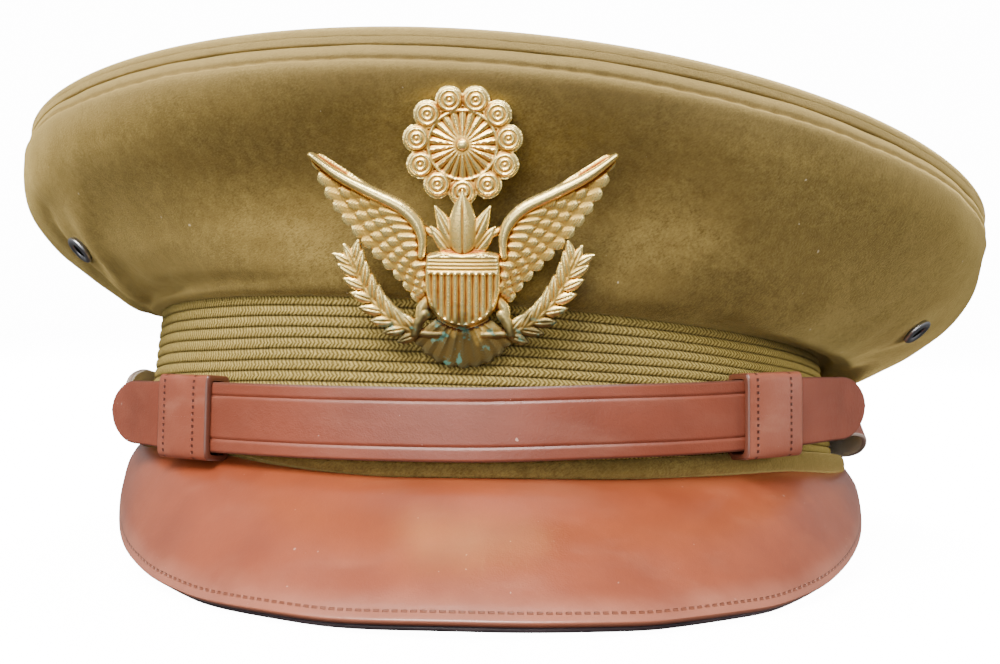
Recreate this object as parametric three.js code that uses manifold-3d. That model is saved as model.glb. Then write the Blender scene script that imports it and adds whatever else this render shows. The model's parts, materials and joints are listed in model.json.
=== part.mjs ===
// An officer's peaked cap: soft flared crown, ribbed band, leather peak and chin strap, openwork badge.
// Millimetres, +Z up, the peak points to -Y. The cap is modelled upright on its band and then tipped
// back until it rests on the peak and on the back of the band.
import * as THREE from 'three';
import { mergeVertices } from 'three/addons/utils/BufferGeometryUtils.js';
import Module from 'manifold-3d';

const wasm = await Module();
wasm.setup();

// Driving dimensions.
const GAP = 0.3; // left between pieces that touch
const BAND_HALF_WIDTH = 92; // outside of the braid at the lower edge
const BAND_HALF_LENGTH = 108;
const BAND_TAPER = 4; // each half size shrinks by this up to the top
const BAND_HEIGHT = 37.5;
const BAND_LEAN = 3.6; // degrees that the band's top leans down towards +X
const BAND_BOTTOM = -1.6; // flat lower rim of the head opening
const CORE_THICKNESS = 2;
const BRAID_THICKNESS = 1.6;
const RIB_DEPTH = 0.65;
const RIB_COUNT = 15;
const ROLL_HEIGHT = 3.4; // rolled lower edge of the band below the braid
const CLOTH = 1.6;
const CROWN_LEAN = 4.6; // degrees
const CROWN_SHIFT = 0.7;
const RIM_HALF_WIDTH = 128;
const RIM_FRONT = 122.6;
const RIM_BACK = 130;
const SEAM_FRONT = 87; // heights of the rim seam above the band's lower edge
const SEAM_SIDE = 74;
const SEAM_BACK = 62;
const WELT_RADIUS = 1.15;
const ROLL_RISE = 4.6; // the top's rolled edge above the seam
const ROLL_INSET = 4.8;
const TOP_SAG = 5;
const PEAK_HALF_WIDTH = BAND_HALF_WIDTH + 1.5;
const PEAK_TIP = BAND_HALF_LENGTH + 37; // from the cap's middle to the peak's front edge
const PEAK_DROP = 26.3;
const PEAK_LEATHER = 1.5;
const PEAK_BULGE = 2.4;
const PEAK_SHIFT = 0.7;
const STRAP_WIDTH = 15.5;
const STRAP_THICKNESS = 1.7;
const STRAP_HEIGHT = 11; // centre line above the band's lower edge, at the front
const UNDER_WIDTH = 13.4;
const STRAP_RISE = 5.8; // how much higher the ends are
const STRAP_SLANT = 1.6; // how much higher still the right end is, and how much lower the left
const STRAP_END = BAND_HALF_WIDTH - 0.4; // sideways reach of the front strap
const KEEPER_PLACES = [-0.705, 0.657]; // shares of STRAP_END
const UNDER_DRIFT = 5.6; // under strap at the buttons: up on one side, down on the other
const KEEPER_LENGTH = 17.5;
const KEEPER_WALL = 1.2;
const BUTTON_RADIUS = 6.5;
const EYELET_RADIUS = 3.9;
const EYELET_BORE = 2;
const BADGE_HEIGHT = 57.5;
const BADGE_PLATE = 1.3;
const BADGE_OFFSET = -5.1; // sideways, with the twist of the crown's front
const BADGE_TWIST = 2.5;
const BADGE_FOOT = 22.1; // height of its lowest feathers
const BADGE_BEDDING = 0.3; // how far its foot and head press into braid and cloth
const POST_RADIUS = 1.2;
const NUT_RADIUS = 5.5;
const NUT_HEIGHT = 2.2;

const rad = THREE.MathUtils.degToRad;
const lerp = THREE.MathUtils.lerp;
const smooth = THREE.MathUtils.smoothstep;

// Bearing t is measured from the front (-Y) towards +X. Shares blend the front, side and back sections.
const frontShare = (t) => Math.max(0, Math.cos(t)) ** 1.6;
const backShare = (t) => Math.max(0, -Math.cos(t)) ** 1.6;
const blend = (t, front, side, back) =>
  side + (front - side) * frontShare(t) + (back - side) * backShare(t);
const bearings = (count) => Array.from({ length: count }, (_, i) => (2 * Math.PI * i) / count);

// Turns a point about the cap's long axis at the height of the band's top: +X goes down.
function lean([x, y, z], degrees, shift = 0) {
  const angle = rad(degrees);
  const rise = z - BAND_HEIGHT;
  return [
    x * Math.cos(angle) + rise * Math.sin(angle) + shift,
    y,
    BAND_HEIGHT + rise * Math.cos(angle) - x * Math.sin(angle),
  ];
}

// A closed geometry from points and triangles, turned to face out.
function closedGeometry(points, triangles) {
  let volume = 0;
  for (const [a, b, c] of triangles) {
    const [p, q, r] = [points[a], points[b], points[c]];
    volume +=
      p[0] * (q[1] * r[2] - q[2] * r[1]) +
      p[1] * (q[2] * r[0] - q[0] * r[2]) +
      p[2] * (q[0] * r[1] - q[1] * r[0]);
  }
  const faces = volume < 0 ? triangles.map(([a, b, c]) => [a, c, b]) : triangles;
  const geometry = new THREE.BufferGeometry();
  geometry.setAttribute('position', new THREE.Float32BufferAttribute(points.flat(), 3));
  geometry.setIndex(faces.flat());
  return geometry;
}

// Skins a list of equal loops. Closed lists join the last loop to the first; open ones are capped.
function skin(loops, closed) {
  const count = loops[0].length;
  const points = loops.flat();
  const triangles = [];
  const pairs = closed ? loops.length : loops.length - 1;
  for (let i = 0; i < pairs; i++) {
    const a = i * count;
    const b = ((i + 1) % loops.length) * count;
    for (let j = 0; j < count; j++) {
      const k = (j + 1) % count;
      triangles.push([a + j, a + k, b + k], [a + j, b + k, b + j]);
    }
  }
  if (!closed) {
    for (const [start, flip] of [[0, true], [(loops.length - 1) * count, false]]) {
      const loop = points.slice(start, start + count);
      const middle = [0, 1, 2].map((axis) => loop.reduce((sum, p) => sum + p[axis], 0) / count);
      const hub = points.push(middle) - 1;
      for (let j = 0; j < count; j++) {
        const k = (j + 1) % count;
        triangles.push(flip ? [hub, start + k, start + j] : [hub, start + j, start + k]);
      }
    }
  }
  return closedGeometry(points, triangles);
}

// A closed slab between two equal grids of points.
function slab(front, back) {
  const rows = front.length;
  const columns = front[0].length;
  const points = [...front.flat(), ...back.flat()];
  const triangles = [];
  const quad = (a, b, c, d) => triangles.push([a, b, c], [a, c, d]);
  const at = (i, j) => i * columns + j;
  const far = rows * columns;
  for (let i = 0; i + 1 < rows; i++) {
    for (let j = 0; j + 1 < columns; j++) {
      quad(at(i, j), at(i, j + 1), at(i + 1, j + 1), at(i + 1, j));
      quad(far + at(i, j), far + at(i + 1, j), far + at(i + 1, j + 1), far + at(i, j + 1));
    }
  }
  const rim = [];
  for (let j = 0; j + 1 < columns; j++) rim.push(at(0, j));
  for (let i = 0; i + 1 < rows; i++) rim.push(at(i, columns - 1));
  for (let j = columns - 1; j > 0; j--) rim.push(at(rows - 1, j));
  for (let i = rows - 1; i > 0; i--) rim.push(at(i, 0));
  rim.forEach((a, i) => {
    const b = rim[(i + 1) % rim.length];
    quad(a, far + a, far + b, b);
  });
  return closedGeometry(points, triangles);
}

const toSolid = (source) => {
  const geometry = source.clone();
  geometry.deleteAttribute('normal');
  geometry.deleteAttribute('uv');
  const merged = mergeVertices(geometry, 1e-4);
  return new wasm.Manifold(
    new wasm.Mesh({
      numProp: 3,
      vertProperties: new Float32Array(merged.attributes.position.array),
      triVerts: new Uint32Array(merged.index.array),
    }),
  );
};
const toGeometry = (solid) => {
  const { vertProperties, triVerts } = solid.getMesh();
  const geometry = new THREE.BufferGeometry();
  geometry.setAttribute('position', new THREE.BufferAttribute(new Float32Array(vertProperties), 3));
  geometry.setIndex(new THREE.BufferAttribute(new Uint32Array(triVerts), 1));
  return geometry;
};

const material = (color, roughness, metalness = 0) =>
  new THREE.MeshStandardMaterial({ color, roughness, metalness });
const OLIVE_CLOTH = material(0x7d6238, 0.95);
const OLIVE_BRAID = material(0xa18a57, 0.9);
const RUSSET_LEATHER = material(0xb4755e, 0.4);
const DARK_LEATHER = material(0x4a352c, 0.6);
const GILT = material(0xd0aa6c, 0.35, 0.9);
const EYELET_METAL = material(0x5d5850, 0.45, 0.8);

const cap = new THREE.Group();
function add(name, geometry, look, matrix) {
  const placed = geometry.clone();
  if (matrix) placed.applyMatrix4(matrix);
  const mesh = new THREE.Mesh(placed, look);
  mesh.name = name;
  cap.add(mesh);
}

// A level ring on the band: offset outwards from the braid's face, at a height, leaning with the top.
function bandPoint(t, offset, z) {
  const share = z / BAND_HEIGHT;
  const halfWidth = BAND_HALF_WIDTH - BAND_TAPER * share + offset;
  const halfLength = BAND_HALF_LENGTH - BAND_TAPER * share + offset;
  const x = halfWidth * Math.sin(t);
  const drop = Math.max(0, share) * x * Math.tan(rad(BAND_LEAN));
  return [x, -halfLength * Math.cos(t), z - drop];
}
const bandLoop = (count) => ([offset, z]) => bearings(count).map((t) => bandPoint(t, offset, z));

// Head band: inner wall, top edge, and a rolled lower edge that stands out as far as the braid.
const coreFace = -(BRAID_THICKNESS + GAP);
const coreProfile = [
  [coreFace - CORE_THICKNESS, BAND_BOTTOM],
  [coreFace, BAND_BOTTOM],
  [coreFace, 0.2],
  [-0.5, 0.5],
  [0, ROLL_HEIGHT / 2],
  [-0.5, ROLL_HEIGHT - 0.3],
  [coreFace, ROLL_HEIGHT],
  [coreFace, BAND_HEIGHT],
  [coreFace - CORE_THICKNESS, BAND_HEIGHT],
];
add('band_core', skin(coreProfile.map(bandLoop(48)), true), OLIVE_CLOTH);

// Braid: one rib after another, a crest between two grooves.
const braidBottom = ROLL_HEIGHT + GAP;
const ribPitch = (BAND_HEIGHT - 0.6 - braidBottom) / RIB_COUNT;
const braidProfile = [[-RIB_DEPTH, braidBottom]];
for (let i = 0; i < RIB_COUNT; i++) {
  braidProfile.push([0, braidBottom + ribPitch * (i + 0.5)]);
  braidProfile.push([-RIB_DEPTH, braidBottom + ribPitch * (i + 1)]);
}
braidProfile.push([-BRAID_THICKNESS, BAND_HEIGHT - 0.6], [-BRAID_THICKNESS, braidBottom]);
add('braid', skin(braidProfile.map(bandLoop(44)), true), OLIVE_BRAID);

// Crown sections from the band up. Each pair is [out, rise] as shares: out from the band's top to the
// rim, rise from the band's top to the rim seam. The tip, in degrees, settles from the band's lean to
// the crown's own through a slack fold.
const CROWN_ROWS = [
  { side: [-0.087, 0.01], front: [-0.161, 0.008], back: [-0.118, 0.014], tip: 3.6 },
  { side: [0.07, 0.004], front: [0.065, 0.005], back: [0.085, 0.008], tip: 3.6 },
  { side: [0.115, -0.03], front: [0.172, 0.042], back: [0.15, -0.02], tip: 4.6 },
  { side: [0.255, -0.05], front: [0.183, 0.105], back: [0.3, 0.02], tip: 5.4 },
  { side: [0.472, 0.065], front: [0.1, 0.206], back: [0.49, 0.14], tip: 5.2 },
  { side: [0.657, 0.195], front: [0, 0.32], back: [0.667, 0.28], tip: 5 },
  { side: [0.822, 0.345], front: [0.01, 0.463], back: [0.824, 0.44], tip: 4.8 },
  { side: [0.95, 0.51], front: [0.242, 0.629], back: [0.935, 0.6], tip: 4.6 },
  { side: [1.012, 0.685], front: [0.591, 0.804], back: [0.985, 0.76], tip: 4.6 },
  { side: [1.01, 0.89], front: [0.941, 0.938], back: [1, 0.9], tip: 4.6 },
  { side: [0.99, 1], front: [1, 1], back: [0.985, 1], tip: 4.6 },
];
const bandTopHalfWidth = BAND_HALF_WIDTH - BAND_TAPER;
const bandTopHalfLength = BAND_HALF_LENGTH - BAND_TAPER;

// A point of a ring given by its half width, front and back reach, and three heights.
function ringPoint(t, reach, heights) {
  const along = Math.cos(t) > 0 ? reach[1] : reach[2];
  return [reach[0] * Math.sin(t), -along * Math.cos(t), blend(t, heights[1], heights[0], heights[2])];
}
function wallPoint(t, row) {
  const reach = [
    lerp(bandTopHalfWidth, RIM_HALF_WIDTH, row.side[0]),
    lerp(bandTopHalfLength, RIM_FRONT, row.front[0]),
    lerp(bandTopHalfLength, RIM_BACK, row.back[0]),
  ];
  const heights = [
    lerp(BAND_HEIGHT, SEAM_SIDE, row.side[1]),
    lerp(BAND_HEIGHT, SEAM_FRONT, row.front[1]),
    lerp(BAND_HEIGHT, SEAM_BACK, row.back[1]),
  ];
  const shift = CROWN_SHIFT * smooth(row.side[0], 0.1, 0.6);
  return lean(ringPoint(t, reach, heights), row.tip, shift);
}

// The inner face of a cloth panel: each loop moved in along the panel's own normal.
function inward(loops, distance, hub) {
  const count = loops[0].length;
  const v = (p) => new THREE.Vector3(...p);
  return loops.map((loop, i) =>
    loop.map((p, j) => {
      const around = v(loop[(j + 1) % count]).sub(v(loop[(j + count - 1) % count]));
      const below = v((loops[i - 1] ?? loops[i])[j]);
      const above = v((loops[i + 1] ?? (hub ? Array(count).fill(hub) : loops[i]))[j]);
      const normal = around.cross(above.sub(below)).normalize();
      return v(p).addScaledVector(normal, -distance).toArray();
    }),
  );
}

const CROWN_COUNT = 48;
const wallLoops = CROWN_ROWS.map((row) => bearings(CROWN_COUNT).map((t) => wallPoint(t, row)));
const wallShell = skin([...wallLoops, ...inward(wallLoops, CLOTH).reverse()], true);

// Where the wall is pierced: a point part-way between two rows and the outward normal there.
function wallSpot(t, rowShare) {
  const at = (bearing, share) => {
    const i = Math.min(Math.floor(share), CROWN_ROWS.length - 2);
    const a = new THREE.Vector3(...wallPoint(bearing, CROWN_ROWS[i]));
    return a.lerp(new THREE.Vector3(...wallPoint(bearing, CROWN_ROWS[i + 1])), share - i);
  };
  const around = at(t + 0.03, rowShare).sub(at(t - 0.03, rowShare));
  const up = at(t, rowShare + 0.2).sub(at(t, rowShare - 0.2));
  return { point: at(t, rowShare), normal: around.cross(up).normalize() };
}
// Places a piece whose own +Z is to point along a normal.
function seat({ point, normal }, offset = 0) {
  const turn = new THREE.Quaternion().setFromUnitVectors(new THREE.Vector3(0, 0, 1), normal);
  const place = point.clone().addScaledVector(normal, offset);
  return new THREE.Matrix4().compose(place, turn, new THREE.Vector3(1, 1, 1));
}
// A turned piece from [radius, height] pairs that close on themselves or start and end on the axis.
const turned = (profile, count) =>
  new THREE.LatheGeometry(profile.map(([r, z]) => new THREE.Vector2(r, z)), count).rotateX(Math.PI / 2);

const EYELET_ROW = 5;
const EYELET_BEARING = rad(66);
const eyeletSpots = {
  eyelet_left: wallSpot(-EYELET_BEARING, EYELET_ROW),
  eyelet_right: wallSpot(EYELET_BEARING, EYELET_ROW),
};
const punch = (radius, depth) =>
  turned([[0, -depth], [radius, -depth], [radius, depth], [0, depth]], 16);
let wall = toSolid(wallShell);
for (const spot of Object.values(eyeletSpots)) {
  wall = wall.subtract(toSolid(punch(EYELET_BORE + 0.9, 6).applyMatrix4(seat(spot))));
}

// The badge stands with its foot against the braid and its head against the crown's front. Its frame
// has +Y up the badge, +Z out of its face and the origin in the middle of its back.
const frontFace = CROWN_ROWS.slice(2).map(({ front: [out, rise] }) => [
  lerp(BAND_HEIGHT, SEAM_FRONT, rise),
  lerp(bandTopHalfLength, RIM_FRONT, out),
]);
const footReach = BAND_HALF_LENGTH - (BAND_TAPER * BADGE_FOOT) / BAND_HEIGHT - BADGE_BEDDING;
const badgeHead = BADGE_FOOT + 0.983 * BADGE_HEIGHT;
const headReach = tableValue(frontFace, badgeHead) - BADGE_BEDDING;
const badgeTilt = Math.atan2(headReach - footReach, badgeHead - BADGE_FOOT);
const badgeFrame = new THREE.Matrix4()
  .makeTranslation(BADGE_OFFSET, -footReach, BADGE_FOOT)
  .multiply(new THREE.Matrix4().makeRotationZ(rad(-BADGE_TWIST)))
  .multiply(new THREE.Matrix4().makeRotationX(Math.PI / 2 + badgeTilt))
  .multiply(new THREE.Matrix4().makeTranslation(0, BADGE_HEIGHT / 2, 0));
const POST_TOP = -3;
wall = wall.subtract(
  toSolid(punch(POST_RADIUS + 0.5, 30).translate(0, POST_TOP, -27).applyMatrix4(badgeFrame)),
);
add('crown_wall', toGeometry(wall), OLIVE_CLOTH);

// Rim seam: the welt is a round cord between the wall's top edge and the top panel's edge.
const RIM_CREST = [RIM_HALF_WIDTH, RIM_FRONT, RIM_BACK].map((reach) => reach - ROLL_INSET);
const seamHeights = [SEAM_SIDE, SEAM_FRONT, SEAM_BACK];
const rimLoop = (inset, rise) =>
  bearings(CROWN_COUNT).map((t) =>
    lean(
      ringPoint(
        t,
        [RIM_HALF_WIDTH - inset, RIM_FRONT - inset, RIM_BACK - inset],
        seamHeights.map((z) => z + rise),
      ),
      CROWN_LEAN,
      CROWN_SHIFT,
    ),
  );
const weltProfile = [0, 1, 2, 3, 4, 5].map((i) => {
  const angle = (i * Math.PI) / 3 + Math.PI / 6;
  return [0.75 - WELT_RADIUS * Math.cos(angle), WELT_RADIUS + GAP + WELT_RADIUS * Math.sin(angle)];
});
add('crown_welt', skin(weltProfile.map(([inset, rise]) => rimLoop(inset, rise)), true), OLIVE_CLOTH);

// Top panel: rolls up from the welt to a crest, then sinks gently to the middle.
const weltTop = 2 * (WELT_RADIUS + GAP);
const crestHeights = seamHeights.map((z) => z + ROLL_RISE);
const middleHeight = (crestHeights[1] + crestHeights[2]) / 2 - TOP_SAG;
const topLoop = (scale, settle) =>
  bearings(CROWN_COUNT).map((t) =>
    lean(
      ringPoint(
        t,
        RIM_CREST.map((reach) => reach * scale),
        crestHeights.map((z) => lerp(middleHeight, z, settle)),
      ),
      CROWN_LEAN,
      CROWN_SHIFT,
    ),
  );
const topLoops = [
  rimLoop(0.9, weltTop),
  rimLoop(2.2, weltTop + 1.5),
  topLoop(1, 1),
  topLoop(0.94, 0.985),
  topLoop(0.8, 0.86),
  topLoop(0.58, 0.58),
  topLoop(0.32, 0.25),
];
const topHub = lean([0, 0, middleHeight], CROWN_LEAN, CROWN_SHIFT);
function domeShell(loops, hub, thickness) {
  const inner = inward(loops, thickness, hub);
  const count = loops[0].length;
  const points = [...loops.flat(), hub, ...inner.flat(), [hub[0], hub[1], hub[2] - thickness]];
  const far = loops.length * count + 1;
  const triangles = [];
  for (let j = 0; j < count; j++) {
    const k = (j + 1) % count;
    for (const [base, flip] of [[0, false], [far, true]]) {
      const push = (a, b, c) => triangles.push(flip ? [a, c, b] : [a, b, c]);
      for (let i = 0; i + 1 < loops.length; i++) {
        const [a, b] = [base + i * count, base + (i + 1) * count];
        push(a + j, a + k, b + k);
        push(a + j, b + k, b + j);
      }
      const last = base + (loops.length - 1) * count;
      push(last + j, last + k, base + loops.length * count);
    }
    triangles.push([k, j, far + j], [k, far + j, far + k]);
  }
  return closedGeometry(points, triangles);
}
add('crown_top', domeShell(topLoops, topHub, CLOTH), OLIVE_CLOTH);

for (const [name, spot] of Object.entries(eyeletSpots)) {
  const barrel = EYELET_BORE + 0.5;
  const profile = [
    [EYELET_BORE, -CLOTH - 1],
    [barrel, -CLOTH - 1],
    [barrel, GAP],
    [EYELET_RADIUS, GAP],
    [EYELET_RADIUS - 0.2, GAP + 0.7],
    [barrel + 0.3, GAP + 1],
    [EYELET_BORE, GAP + 0.5],
    [EYELET_BORE, -CLOTH - 1],
  ];
  add(name, turned(profile, 12), EYELET_METAL, seat(spot));
}

// Peak: inner edge tucked under the band's roll, outer edge in a wide arc that drops to two lobes.
const PEAK_BEARING = 82;
const PEAK_ROOT = 15; // how far in front of the cap's middle the peak's corners lie
const PEAK_EDGE = [
  // bearing along the arc in degrees, drop of the outer edge as a share of PEAK_DROP
  [0, 1], [20, 1.005], [39, 0.94], [50, 0.83], [60, 0.665], [70, 0.46], [80, 0.12], [90, -0.26],
];
function tableValue(table, at) {
  const found = table.findIndex(([key]) => key >= at);
  const i = found < 0 ? table.length - 1 : Math.max(1, found);
  const [[a, low], [b, high]] = [table[i - 1], table[i]];
  return lerp(low, high, (at - a) / (b - a));
}
const PEAK_ACROSS = 28;
const PEAK_DOWN = 4;
function peakSurface(depth, span = 1, start = 0) {
  const grid = [];
  for (let i = 0; i <= PEAK_ACROSS; i++) {
    const u = span * ((2 * i) / PEAK_ACROSS - 1);
    const t = rad(PEAK_BEARING * u);
    const degrees = Math.abs(PEAK_BEARING * u);
    const tuck = lerp(-0.6, 0.7, smooth(degrees, 44, 58));
    const root = bandPoint(t, tuck, 0);
    root[2] = -0.1 + 4 * smooth(degrees, 60, 82);
    const sweep = rad(90 * u);
    const edge = [
      PEAK_HALF_WIDTH * Math.sin(sweep) + PEAK_SHIFT * Math.cos(sweep / 2),
      -PEAK_ROOT - (PEAK_TIP - PEAK_ROOT) * Math.cos(sweep),
      -PEAK_DROP * tableValue(PEAK_EDGE, Math.abs(90 * u)),
    ];
    const column = [];
    for (let j = 0; j <= PEAK_DOWN; j++) {
      const share = lerp(start, 1, j / PEAK_DOWN);
      const arch = PEAK_BULGE * Math.sin(Math.PI * share ** 0.8) * Math.cos(sweep * 0.8);
      column.push([
        lerp(root[0], edge[0], share) + 0.55 * arch * Math.sin(sweep),
        lerp(root[1], edge[1], share) - 0.55 * arch * Math.cos(sweep),
        lerp(root[2], edge[2], share) + 0.8 * arch,
      ]);
    }
    grid.push(column);
  }
  return sunk(grid, depth);
}
// A grid moved down along its own normals.
function sunk(grid, depth) {
  const v = (p) => new THREE.Vector3(...p);
  return grid.map((column, i) =>
    column.map((p, j) => {
      const across = v((grid[i + 1] ?? grid[i])[j]).sub(v((grid[i - 1] ?? grid[i])[j]));
      const down = v(column[j + 1] ?? column[j]).sub(v(column[j - 1] ?? column[j]));
      const normal = down.cross(across).normalize();
      return v(p).addScaledVector(normal, -depth).toArray();
    }),
  );
}
add('peak_top', slab(peakSurface(0), peakSurface(PEAK_LEATHER)), RUSSET_LEATHER);
add(
  'peak_underside',
  slab(
    peakSurface(PEAK_LEATHER + GAP + 0.1, 0.94, 0.07),
    peakSurface(PEAK_LEATHER + GAP + 1.2, 0.94, 0.07),
  ),
  DARK_LEATHER,
);

// Straps follow a wider oval than the band and leave it on a tangent towards their ends.
const STRAP_LEAVE = rad(55);
const STRAP_FLARE = 6;
function strapPlan(offset, x) {
  const halfWidth = BAND_HALF_WIDTH + STRAP_FLARE + offset;
  const halfLength = BAND_HALF_LENGTH - 0.7 + GAP + offset;
  const side = Math.sign(x) || 1;
  const leaveX = halfWidth * Math.sin(STRAP_LEAVE);
  if (Math.abs(x) <= leaveX) {
    const t = Math.asin(x / halfWidth);
    const out = new THREE.Vector2(Math.sin(t) / halfWidth, -Math.cos(t) / halfLength).normalize();
    return { x, y: -halfLength * Math.cos(t), out };
  }
  const slope = (halfLength * Math.sin(STRAP_LEAVE)) / (halfWidth * Math.cos(STRAP_LEAVE));
  const y = -halfLength * Math.cos(STRAP_LEAVE) + (Math.abs(x) - leaveX) * slope;
  return { x, y, out: new THREE.Vector2(side * slope, -1).normalize() };
}
const strapZ = (x) => STRAP_HEIGHT + STRAP_RISE * (x / STRAP_END) ** 2 + (STRAP_SLANT * x) / STRAP_END;

// A ribbon through stations of { x, y, out, z, width }, from its outer face in by its thickness.
function ribbon(stations, thickness) {
  const face = (depth) =>
    stations.map(({ x, y, out, z, width }) =>
      [-0.5, -0.42, 0.42, 0.5].map((share) => {
        const inset = Math.abs(share) === 0.5 ? 0.25 : 0;
        const near = depth === 0 ? inset : thickness - inset;
        return [x - out.x * near, y - out.y * near, z + share * width];
      }),
    );
  return slab(face(0), face(thickness));
}
const strapOuter = 2 * STRAP_THICKNESS + GAP;
const strapStations = [];
const STRAP_STEPS = 34;
for (let i = 0; i <= STRAP_STEPS; i++) {
  const x = (STRAP_END * (2 * i - STRAP_STEPS)) / STRAP_STEPS;
  const left = Math.max(0, STRAP_END - Math.abs(x)) * 1.86; // length left along the straight end
  const cut = Math.min(1, left / (STRAP_WIDTH / 2));
  const width = STRAP_WIDTH * Math.max(0.3, Math.sqrt(1 - (1 - cut) ** 2));
  strapStations.push({ ...strapPlan(strapOuter, x), z: strapZ(x), width });
}
add('strap_front', ribbon(strapStations, STRAP_THICKNESS), RUSSET_LEATHER);

// The under strap runs beneath it and curls back on to the band's sides, to the two buttons.
const CURL = [
  // how far the strap's outer face stands out from the band's half width, its place along the band
  // as a share of the half length, and the facing of that face in degrees
  [-1.4, -0.389, 33], [2.8, -0.306, 22], [5.2, -0.213, 6], [4.2, -0.111, -10], [1.7, -0.019, -8],
  [1.2, 0.074, -1],
];
const underStations = [];
for (const side of [-1, 1]) {
  const curl = CURL.map(([stand, share, facing]) => ({
    x: side * (BAND_HALF_WIDTH + stand),
    y: BAND_HALF_LENGTH * share,
    out: new THREE.Vector2(side * Math.cos(rad(facing)), -Math.sin(rad(facing))),
    z: strapZ(side * (BAND_HALF_WIDTH + stand)) - side * UNDER_DRIFT * smooth(share, -0.42, -0.09),
    width: UNDER_WIDTH,
  }));
  if (side < 0) {
    underStations.push(...curl.reverse());
    for (let i = -14; i <= 14; i++) {
      const x = (0.917 * STRAP_END * i) / 14;
      underStations.push({ ...strapPlan(STRAP_THICKNESS, x), z: strapZ(x), width: UNDER_WIDTH });
    }
  } else underStations.push(...curl);
}
const buttonSpots = [-1, 1].map((side) => ({
  point: new THREE.Vector3(side * (BAND_HALF_WIDTH + 1.5), 0, strapZ(side * STRAP_END) - side * UNDER_DRIFT),
  normal: new THREE.Vector3(side, 0, 0),
}));
let under = toSolid(ribbon(underStations, STRAP_THICKNESS - 0.1));
for (const spot of buttonSpots) {
  under = under.subtract(toSolid(punch(1.9, 5).applyMatrix4(seat(spot))));
}
add('strap_under', toGeometry(under), RUSSET_LEATHER);

['left', 'right'].forEach((hand, i) => {
  const profile = [
    [0, -2.6], [1.4, -2.6], [1.4, 0.4], [BUTTON_RADIUS - 0.8, 0.6], [BUTTON_RADIUS, 1.2],
    [BUTTON_RADIUS - 0.8, 2.4], [BUTTON_RADIUS * 0.55, 3.4], [0, 3.8],
  ];
  add(`button_${hand}`, turned(profile, 16), GILT, seat(buttonSpots[i], 0.7));
});

// Keepers: flat loops round both straps, standing square to the strap's run.
function keeper(centreX) {
  const stations = [-0.5, -0.17, 0.17, 0.5].map((share) => {
    const middle = strapPlan(strapOuter / 2, centreX);
    const run = KEEPER_LENGTH * share * Math.hypot(middle.out.y, 0);
    const x = centreX + run;
    return { ...strapPlan(0, x), z: strapZ(x) };
  });
  const loops = (grow) =>
    stations.map(({ x, y, out, z }) => {
      const slack = 1.6 * GAP; // the loop fits loosely over both straps
      const near = -slack - grow;
      const farOut = strapOuter + slack + grow;
      const half = STRAP_WIDTH / 2 + slack + grow;
      const round = 0.35 + grow * 0.5;
      const corner = [
        [near, -half + round], [near + round, -half], [farOut - round, -half], [farOut, -half + round],
        [farOut, half - round], [farOut - round, half], [near + round, half], [near, half - round],
      ];
      return corner.map(([r, h]) => [x + out.x * r, y + out.y * r, z + h]);
    });
  return skin([...loops(KEEPER_WALL), ...loops(0).reverse()], true);
}
add('keeper_left', keeper(STRAP_END * KEEPER_PLACES[0]), RUSSET_LEATHER);
add('keeper_right', keeper(STRAP_END * KEEPER_PLACES[1]), RUSSET_LEATHER);

// Badge, drawn in its own frame: back face at z = 0, middle at the origin, from -0.5 to 0.5 high.
const badgeParts = [];
const S = BADGE_HEIGHT;
function plate(points, thickness, bevel = 0) {
  const shape = new THREE.Shape(points.map(([x, y]) => new THREE.Vector2(x * S, y * S)));
  const settings = {
    depth: thickness - bevel, bevelEnabled: bevel > 0, bevelThickness: bevel, bevelSize: bevel,
    bevelOffset: -bevel, bevelSegments: 1,
  };
  badgeParts.push(toSolid(new THREE.ExtrudeGeometry(shape, settings).translate(0, 0, bevel / 2)));
}
// A raised blade with a ridge along its middle, from a root to a tip.
function blade([x0, y0], [x1, y1], width, height) {
  const along = new THREE.Vector2(x1 - x0, y1 - y0).multiplyScalar(S);
  const side = new THREE.Vector2(-along.y, along.x).normalize().multiplyScalar(width * S);
  const spot = (share, across, z) => [
    x0 * S + along.x * share + side.x * across,
    y0 * S + along.y * share + side.y * across,
    z,
  ];
  const loops = [[0, 0.35, 0.8], [0.6, 0.5, 1], [1, 0.1, 0.55]].map(([share, half, rise]) => [
    spot(share, -half, 0.05), spot(share, half, 0.05), spot(share, 0, height * rise),
  ]);
  badgeParts.push(toSolid(skin(loops, false)));
}
function boss([x, y], radius, height, count = 6) {
  const r = radius * S;
  const profile = [[0, 0], [r, 0], [r, 0.5 * height], [r * 0.5, height], [0, height]];
  badgeParts.push(toSolid(turned(profile, count).translate(x * S, y * S, 0)));
}
const bothSides = (draw) => [-1, 1].forEach((side) => draw(([x, y]) => [side * x, y]));
const around = (count, draw) => bearings(count).forEach((t) => draw(Math.sin(t), Math.cos(t)));

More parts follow.
